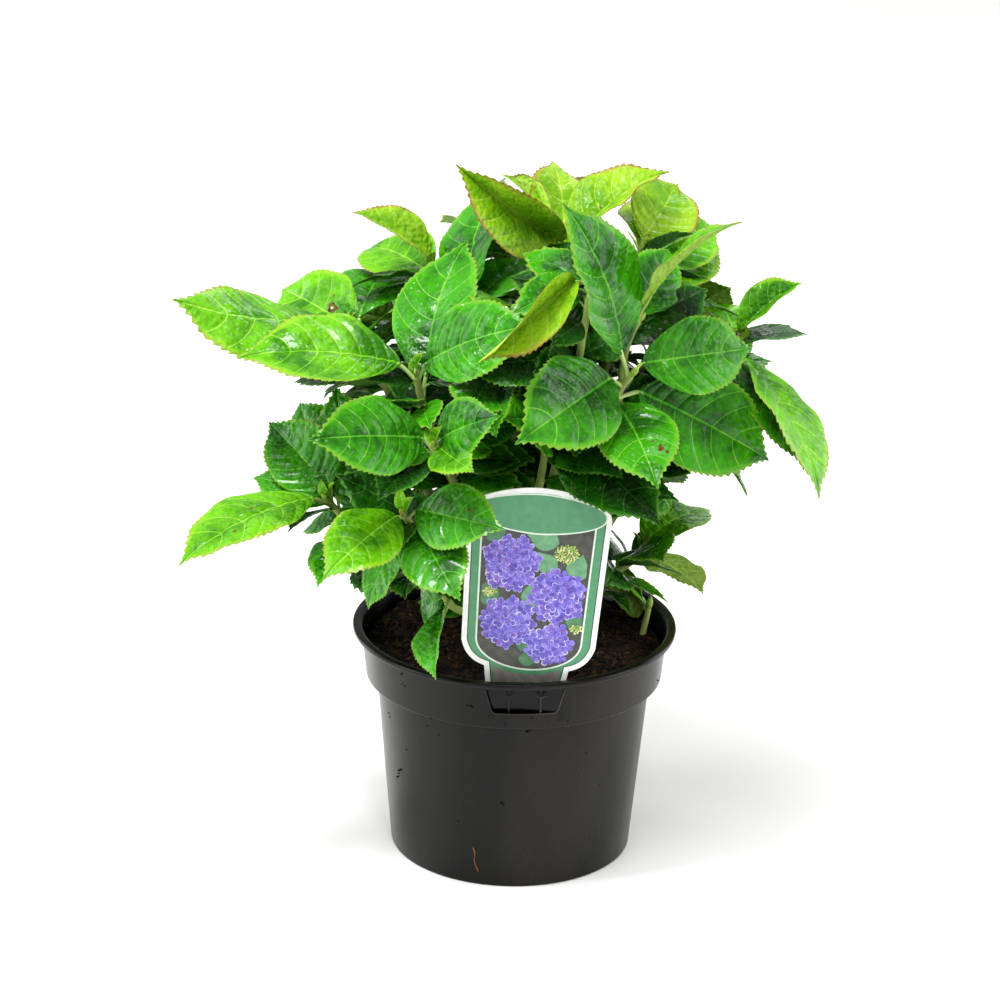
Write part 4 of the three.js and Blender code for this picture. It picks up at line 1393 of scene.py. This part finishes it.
# Soil on the pot's wall: bearing, height and size
SOILING = [
    (211, 58.7, 1.7), (208.5, 53, 1.2), (210, 56, 0.9), (218, 75.6, 0.9), (224, 129.4, 0.9),
    (224, 123, 1.1), (225.4, 122.4, 0.9), (254, 120.4, 1.5), (255, 119.8, 1.2),
    (252.8, 120.6, 0.8), (266, 55.9, 1.4), (267, 54.6, 0.9), (261, 115.4, 1.0),
    (276, 103.2, 1.3), (277.2, 103.6, 0.9), (277, 114.8, 1.0),
    (204, 91.9, 0.7), (205, 89.8, 0.6), (234, 103.4, 0.8), (232, 97.8, 0.8), (238, 94.3, 0.6),
    (267, 110.8, 0.7), (291, 111, 0.8), (303, 84, 0.9), (312, 60, 0.7), (246, 40, 0.8), (30, 70, 1.1),
    (75, 90, 0.9), (120, 50, 1.0), (160, 96, 0.8), (345, 112, 0.9), (100, 116, 0.8),
]


def on_wall(bearing, height, lift):
    """A place on the pot's wall, in millimetres."""
    return direction(bearing, 0) * (collar_radius(height) + lift) + np.array([0, 0, height])


def model_soiling():
    """Grains that cling to the wall and a thin dry stalk below the collar."""
    luck = random.Random(41)
    grains = Grains()
    for bearing, height, size in SOILING:
        grains.add(luck, size, on_wall(bearing, height, 0.1) * MM)
    soil = compost_finish("wall_soil", 500, "060404", "110B08", "1E140E")
    mount(piece_of("wall_grains", grains.corners, grains.faces, [soil]), "compost")
    stalk = [on_wall(253 + 0.25 * step + 0.5 * math.sin(step), 24.5 - 2 * step, 0.3) for step in range(9)]
    radii = [0.35, 0.5, 0.45, 0.5, 0.4, 0.45, 0.35, 0.4, 0.25]
    dry = compost_finish("dry_stalk", 300, "4A2A1C", "7E5238", "A88A70")
    mount(tube_set("stuck_stalk", [(stalk, radii)], 6, dry), "compost")


def model_bed():
    """The compost itself: filled up in rings, heaped and lumpy on top, flat behind the label's pocket."""
    profile = [
        (BASE_RADIUS - WALL - 8, FLOOR_THICKNESS + 0.3), (BASE_RADIUS - WALL - 0.3, FLOOR_THICKNESS + 0.3),
        (LEDGE_RADIUS - WALL - 0.3, LEDGE_Z - WALL), (COMPOST_EDGE - 0.3, LEDGE_Z + WALL + 0.3),
        (COMPOST_EDGE, COMPOST_Z - 1),
    ]
    profile += [(COMPOST_EDGE - 1.9 * ring, COMPOST_Z + COMPOST_CROWN * ring / COMPOST_RINGS)
                for ring in range(1, COMPOST_RINGS + 1)]
    bed = drawn_up(profile, 144)
    for vertex in bed.data.vertices:
        place = vertex.co / MM
        if place.z > COMPOST_Z - 1.5:
            lumps = noise.fractal(place * 0.07, 0.9, 2.1, 5) * 2.6 + noise.noise(place * 0.45) * 0.9
            level = math.hypot(place.x, place.y)
            heap = HEAP[2] * math.exp(-((place.x - HEAP[0]) ** 2 + (place.y - HEAP[1]) ** 2) / 1800)
            vertex.co.z += (lumps + heap) * MM * min(1, (COMPOST_EDGE + 3 - level) / 8)
        if place.z > LEDGE_Z + WALL and abs(place.x - POCKET_X) < PANEL_WIDTH / 2 + 1:
            vertex.co.y = max(vertex.co.y, (PANEL_BACK + 0.3) * MM)
    bed.data.materials.append(
        compost_finish("moist_compost", 160, "070504", "170F0A", "3A281B", (0.3, 0.52, 0.72)))
    bed.name = "compost_bed"
    mount(smoothed(bed, 50), "compost", "compost")
    return bed


def scatter_chips(resting, luck):
    """Chips of bark, dark crumbs and a little grit."""
    finishes = [compost_finish(name, 500, *tones) for name, *tones in (
        ("bark_chip", "1C110A", "452C18", "70502F"),
        ("dark_chip", "090604", "1B120C", "33231A"),
        ("pale_grit", "6E6654", "958E7C", "B4AE9E"))]
    grains, kinds = Grains(), []
    for _ in range(CHIPS):
        bearing, ring = luck.uniform(0, 2 * math.pi), COMPOST_EDGE * math.sqrt(luck.uniform(0.03, 0.95))
        spot = resting(ring * math.cos(bearing) * MM, ring * math.sin(bearing) * MM)
        kind = luck.choices((0, 1, 2), (34, 64, 2))[0]
        size = luck.uniform(0.5, 3.2) * (0.4 if kind == 2 else 1)
        kinds += [kind] * grains.add(luck, size, np.array(spot))
    chips = piece_of("compost_chips", grains.corners, grains.faces, finishes)
    chips.data.polygons.foreach_set("material_index", kinds)
    mount(chips, "compost")


def scatter_fibres(resting, luck):
    """Bits of root and straw that lie across the compost."""
    fibres = []
    for _ in range(FIBRES):
        bearing, ring = luck.uniform(0, 2 * math.pi), COMPOST_EDGE * math.sqrt(luck.uniform(0.05, 0.9))
        way, bow = luck.uniform(0, 6.28), luck.uniform(-0.5, 0.5)
        length, thick = luck.uniform(4, 15), luck.uniform(0.12, 0.4)
        points = []
        x, y = ring * math.cos(bearing), ring * math.sin(bearing)
        for step in range(6):
            if math.hypot(x, y) > COMPOST_EDGE - 1:
                break
            spot = resting(x * MM, y * MM) / MM
            points.append((x, y, spot.z + 0.2 + 0.9 * math.sin(math.pi * step / 5) * luck.random()))
            x += math.cos(way) * length / 5
            y += math.sin(way) * length / 5
            way += bow
        if len(points) > 2:
            fibres.append((points, [thick] * len(points)))
    finish = compost_finish("root_fibre", 300, "22160C", "5E4228", "96764E")
    mount(tube_set("compost_fibres", fibres, 4, finish), "compost")


def model_compost():
    """The bed of compost, and what lies on it."""
    luck = random.Random(23)
    tree = BVHTree.FromObject(model_bed(), bpy.context.evaluated_depsgraph_get())

    def resting(x, y):
        hit = tree.ray_cast(Vector((x, y, 0.2)), Vector((0, 0, -1)))[0]
        return hit if hit else Vector((x, y, COMPOST_Z * MM))

    scatter_chips(resting, luck)
    scatter_fibres(resting, luck)


# The label

def card_outline():
    """The card's outline in its own plane, from its foot round by the right."""
    top, foot, corner = LABEL_HALF_TOP, LABEL_HALF_FOOT, LABEL_CORNER
    right = [(TONGUE_FOOT_HALF, -TONGUE_DEPTH), (TONGUE_HALF + 1, 5)]
    right += bent_line(right[-1], (foot - 3, 8), (foot, LABEL_SHOULDER))
    right += [(top, corner - 4)]
    right += bent_line(right[-1], (top, corner + 3), (top - 6, corner + 6))
    arch = bent_line(right[-1], (0, LABEL_TOP + 6), (-top + 6, corner + 6), 40)
    left = [(-x, y) for x, y in reversed(right[:-1])]
    return right + arch + left


def inset(outline, depth):
    """A closed outline moved inwards."""
    ring = [Vector(point) for point in outline]
    moved = []
    for index, here in enumerate(ring):
        before = (here - ring[index - 1]).normalized()
        after = (ring[(index + 1) % len(ring)] - here).normalized()
        normal = Vector((-(before.y + after.y), before.x + after.x)).normalized()
        spread = max(0.5, math.sqrt((1 + before.dot(after)) / 2))
        moved.append(tuple(here + normal * depth / spread))
    return moved


def on_card(x, up, lift):
    """From the card's plane to the plant's frame; lift is the height over its front face."""
    lean = math.radians(LABEL_LEAN)
    return Vector((POCKET_X + x * math.cos(lean) + up * math.sin(lean),
                   LABEL_Y - LABEL_THICKNESS / 2 - lift,
                   POT_HEIGHT - x * math.sin(lean) + up * math.cos(lean))) * MM


def prism(name, near, far, finishes=()):
    """A closed solid between two like rings of corners."""
    count = len(near)
    faces = [list(range(count)), [2 * count - 1 - i for i in range(count)]]
    faces += band(0, count, count)
    return faced_outwards(piece_of(name, [*near, *far], faces, finishes), triangles=True)


def plate(outline, low, high, finish):
    """A thin flat plate lying on the card between two heights over its face."""
    near, far = ([on_card(x, up, lift) for x, up in outline] for lift in (high, low))
    return prism("plate", near, far, [finish])


def lens_outline(grow=0.0):
    """The bare panel under the arch: two shallow arcs that meet in rounded points."""
    points = []
    for step in range(64):
        angle = 2 * math.pi * step / 64
        c, s = math.cos(angle), math.sin(angle)
        points.append(((37.2 + grow) * math.copysign(abs(c) ** 1.25, c),
                       98.6 + (11.4 + grow) * math.copysign(abs(s) ** 0.9, s)))
    return points


def picture_outline(grow=0.0):
    """The picture's field: straight sides and a bowl-shaped foot, running up behind the panel."""
    bowl = [((29.3 + grow) * math.cos(a), 22 + (17.2 + grow) * math.sin(a))
            for a in (math.pi + math.pi * step / 40 for step in range(41))]
    return bowl + [(31.6 + grow, 97), (-31.6 - grow, 97)]


def tongue_outline():
    """The bare print on the tongue, under the green band that follows the bowl."""
    half = TONGUE_HALF - 3.6
    bowl = [(x, 22 - 20.2 * math.sqrt(1 - (x / 32) ** 2) - 0.4) for x in
            (half * (1 - step / 8) for step in range(17))]
    foot, low = TONGUE_FOOT_HALF - 3.2, -TONGUE_DEPTH + 3
    return [(-foot, low), (foot, low)] + bowl


# The label's printed tones, and one line of painted shadow: light, shade and roughness
INKS = {
    "white_card": ("FAFAF8", "F0F0EC", 0.28),
    # Not printed: the thin dark line at the green band's edge is painted shadow
    "painted_shadow_line": ("2F4A3E", "263D33", 0.3),
    "green_print": ("4E9468", "458A5F", 0.3),
    "pale_line": ("E4EEE2", "D6E4D4", 0.3),
    "picture_ground": ("4A4A42", "2F332C", 0.3),
    "picture_leaf": ("4F8A5A", "3A6E4C", 0.3),
    "picture_leaf_light": ("6FA878", "568F66", 0.3),
    "tongue_print": ("85807A", "6E6A66", 0.3),
    "bloom_0": ("7A68D4", "5A48B4", 0.35),
    "bloom_1": ("9080DE", "7060C6", 0.35),
    "bloom_2": ("6250BE", "4A38A0", 0.35),
    "bloom_3": ("8A64C4", "6A48A8", 0.35),
    "bloom_4": ("B4AAEE", "9488DC", 0.35),
    "bloom_5": ("DED8FA", "BEB6F0", 0.35),
    "bloom_bud": ("D9DF9A", "BECB78", 0.3),
    "bloom_bud_green": ("A9BF62", "8CA84E", 0.3),
}
# The picture, in millimetres on the card: leaves by place, bearing and length, heads by place, radius
# and number of florets or buds
PAINTED_LEAVES = [
    (3, 84, 168, 19), (24, 68, 75, 18), (-23, 86, 40, 14), (-18, 14, 148, 15), (0, 50, 92, 18),
    (25, 37, 84, 14), (1, 11, 12, 12), (-25, 50, 88, 17), (-2, 21, 70, 12), (6, 70, 130, 16),
]
MOPHEADS = [((-14, 68), 15.5, 46), ((14, 50), 15, 44), ((-13, 33), 14.5, 40), ((12, 20), 11.5, 26)]
BUDDING_HEADS = [((17, 76), 7, 60), ((-24.5, 50), 3.8, 22), ((26, 31), 3.4, 18)]
PETAL = [(0, 0), (0.55, -0.46), (0.95, -0.34), (1.06, 0), (0.95, 0.34), (0.55, 0.46)]
PETAL_CURL = [0, 0.1, 0.02, 0, 0.02, 0.1]
GOLDEN_TURN = 2.39996


def model_label():
    """The card with its printed layers, a painted shadow line and its picture, as one piece."""
    luck = random.Random(5)
    ink = {name: print_finish(name, *tones) for name, tones in INKS.items()}
    outline = card_outline()
    card = plate(outline, -LABEL_THICKNESS, 0, ink["white_card"])
    modified(card, "BEVEL", width=0.15 * MM, segments=2, limit_method="ANGLE", angle_limit=math.radians(60))
    prints = [
        plate(shape, -0.1, lift, ink[name]) for shape, lift, name in (
            # The dark line round the green band is painted shadow under the band's edge
            (inset(outline, 3.0), 0.03, "painted_shadow_line"), (inset(outline, 3.6), 0.06, "green_print"),
            (picture_outline(1.0), 0.09, "pale_line"), (picture_outline(), 0.12, "picture_ground"),
            (lens_outline(0.9), 0.24, "pale_line"), (lens_outline(), 0.27, "green_print"),
            (tongue_outline(), 0.08, "tongue_print"))
    ]
    prints += painted_leaves(luck, ink["picture_leaf"], ink["picture_leaf_light"])
    blooms = [ink[f"bloom_{tone}"] for tone in range(6)]
    prints += [mophead(*head, blooms, luck) for head in MOPHEADS]
    buds = [ink["bloom_bud"], ink["bloom_bud_green"]]
    prints += [budding_head(*head, buds, luck) for head in BUDDING_HEADS]
    mount(joined([card, *prints], "plant_label_card"), "label", "plant_label")


def in_picture(x, up):
    """Whether a place on the card is inside the picture's field."""
    if abs(x) > 29 + max(0, up - 22) / 32 or up > 96:
        return False
    return up > 22 or (x / 29) ** 2 + ((up - 22) / 16.8) ** 2 < 1


def below_panel(x, up):
    """Whether a place on the card is below the bare panel."""
    return up < 98.4 - 12.2 * max(0, 1 - abs(x / 37.2) ** 1.6) ** 0.5


def painted_leaves(luck, dark, light):
    """The picture's leaves, each a thin plate a little higher than the last."""
    leaves = []
    for x, up, bearing, length in PAINTED_LEAVES:
        way = Vector((math.cos(math.radians(bearing)), math.sin(math.radians(bearing))))
        across = Vector((-way.y, way.x))
        points = []
        for step in range(20):
            f = step / 10 if step <= 10 else (20 - step) / 10
            half = 0.36 * length * float(blade_outline(np.array(min(f, 1.0)))) * (1 if step <= 10 else -1)
            spot = Vector((x, up)) + way * length * (f - 0.5) + across * half
            inside = Vector((max(-29, min(29, spot.x)), spot.y))
            points.append(tuple(inside))
        if all(in_picture(*point) for point in points):
            leaves.append(plate(points, -0.05, 0.15 + 0.005 * len(leaves), luck.choice((dark, light))))
    return leaves


def spiral(centre, radius, count, squash=1.0):
    """Places spread evenly over a round head: each with how far out it is."""
    for index in range(count):
        ring = radius * math.sqrt((index + 0.5) / count)
        bearing = index * GOLDEN_TURN
        yield centre[0] + ring * math.cos(bearing), centre[1] + squash * ring * math.sin(bearing), ring


def mophead(centre, radius, count, finishes, luck):
    """A round head of florets, each of four petals, printed in slight relief."""
    corners, faces, kinds = [], [], []
    for cx, cy, ring in spiral(centre, radius, count):
        size = luck.uniform(2.9, 4.0)
        lift = 0.2 + 0.5 * (1 - (ring / radius) ** 2) + luck.uniform(0, 0.12)
        spin = luck.uniform(0, math.pi / 2)
        for layer in range(8):
            petal, inner = layer // 2, layer % 2
            angle = spin + petal * math.pi / 2
            tones, weights = (range(4), (34, 28, 24, 14)) if inner else ((4, 5, 1), (5, 3, 3))
            shade = luck.choices(tones, weights)[0]
            spots = []
            for along, across in PETAL:
                along, across = (along * 0.84, across * 0.76) if inner else (along, across)
                x = cx + size * (along * math.cos(angle) - across * math.sin(angle))
                y = cy + size * (along * math.sin(angle) + across * math.cos(angle))
                spots.append((x, y))
            if not all(in_picture(*spot) and below_panel(*spot) for spot in spots):
                continue
            start, around = len(corners), len(PETAL)
            top = lift + 0.05 * petal + 0.06 * inner
            corners += [on_card(x, y, top + curl) for (x, y), curl in zip(spots, PETAL_CURL)]
            corners += [on_card(x, y, 0.05) for x, y in spots]
            faces += [[start, start + k, start + k + 1] for k in range(1, around - 1)]
            under = start + around
            faces += [[under + k + 1, under + k, under] for k in range(1, around - 1)]
            faces += band(start, under, around)
            kinds += [shade] * (3 * around - 4)
    head = piece_of("mophead", corners, faces, finishes)
    head.data.polygons.foreach_set("material_index", kinds)
    return head


def budding_head(centre, radius, count, finishes, luck):
    """A cluster of closed buds: small domes of six sides."""
    corners, faces, kinds = [], [], []
    for cx, cy, _ in spiral(centre, radius, count, 0.8):
        size = luck.uniform(0.55, 0.95)
        top = 0.45 + luck.uniform(0, 0.25)
        start = len(corners)
        for height, share in ((0.1, 1), (top * 0.8, 0.85), (top, 0.4)):
            corners += [on_card(cx + size * share * math.cos(a), cy + size * share * math.sin(a), height)
                        for a in (math.pi / 3 * side for side in range(6))]
        faces.append([start + 5 - side for side in range(6)])
        faces.append([start + 12 + side for side in range(6)])
        for low in (start, start + 6):
            faces += [[low + side, low + (side + 1) % 6, low + 6 + (side + 1) % 6, low + 6 + side]
                      for side in range(6)]
        kinds += [luck.randrange(len(finishes))] * 14
    head = piece_of("budding_head", corners, faces, finishes)
    head.data.polygons.foreach_set("material_index", kinds)
    return head


# The studio

# The camera's place in metres, its tilt and roll in degrees, its focal length in widths of the picture
CAMERA_PLACE = (-0.010, -2.008, 0.9647)
CAMERA_TILT = 69.5
CAMERA_ROLL = 1.2
CAMERA_FOCAL = 3.693
CAMERA_SENSOR = 36

# The lights: place, what they face, size in metres and power in watts
BOXES = {
    "overhead_box": ((-0.5, -0.4, 1.7), (0, 0, 0.25), (0.3, 0.3), 16),
    "left_box": ((-1.5, -0.35, 0.75), (0, 0, 0.15), (0.6, 1.2), 14),
    "right_box": ((1.5, -0.3, 0.75), (0, 0, 0.15), (0.6, 1.2), 12),
    "front_box": ((0.2, -1.5, 1.9), (0, 0, 0.25), (0.22, 0.22), 7),
    "back_left_box": ((-1.3, 0.75, 0.5), (0, 0, 0.1), (0.5, 1.0), 5),
    "back_right_box": ((1.3, 0.75, 0.5), (0, 0, 0.1), (0.5, 1.0), 5),
    "back_box": ((0.4, 1.6, 1.5), (0, 0, 0.3), (0.9, 0.5), 8),
}
SKY_DIRECTION = (-0.25, -0.3, 1)
SKY_POWER = 1.75
SKY_ANGLE = 38
AIR_LIGHT = 0.42


def set_camera():
    """The photograph's viewing angle."""
    bpy.ops.object.camera_add(location=CAMERA_PLACE)
    camera = bpy.context.object
    turn = (Matrix.Rotation(math.radians(CAMERA_TILT), 4, "X")
            @ Matrix.Rotation(math.radians(CAMERA_ROLL), 4, "Z"))
    camera.rotation_euler = turn.to_euler()
    camera.data.sensor_width = CAMERA_SENSOR
    camera.data.lens = CAMERA_FOCAL * CAMERA_SENSOR
    camera.data.clip_end = 50
    bpy.context.scene.camera = camera


def hang_lamp(name, kind, power, way):
    """A lamp of one kind, turned so that it shines against a direction."""
    light = bpy.data.lights.new(name, kind)
    light.energy = power
    lamp = bpy.data.objects.new(name, light)
    bpy.context.collection.objects.link(lamp)
    lamp.rotation_euler = way.to_track_quat("Z", "Y").to_euler()
    return lamp


def set_studio():
    """A plain white floor, an even sky and soft boxes all round."""
    bpy.ops.mesh.primitive_plane_add(size=16)
    floor = bpy.context.object
    floor.name = "studio_floor"
    finish = Finish("studio_white", "F4F4F2", 0.9, Specular_IOR_Level=0.1)
    finish.colours(finish.noise(3, 2), [(0.3, "F2F2F0"), (0.7, "F6F6F5")])
    floor.data.materials.append(finish.material)
    world = bpy.data.worlds.new("studio_air")
    bpy.context.scene.world = world
    world.use_nodes = True
    world.node_tree.nodes["Background"].inputs["Color"].default_value = (1, 1, 1, 1)
    world.node_tree.nodes["Background"].inputs["Strength"].default_value = AIR_LIGHT
    sky = hang_lamp("soft_sky", "SUN", SKY_POWER, Vector(SKY_DIRECTION))
    sky.data.angle = math.radians(SKY_ANGLE)
    for name, (place, target, size, power) in BOXES.items():
        lamp = hang_lamp(name, "AREA", power, Vector(place) - Vector(target))
        lamp.location = place
        lamp.data.shape = "RECTANGLE"
        lamp.data.size, lamp.data.size_y = size
    bpy.context.scene.view_settings.view_transform = "Standard"


set_camera()
set_studio()
model_pot()
model_compost()
model_crown()
model_label()
grow_plant()
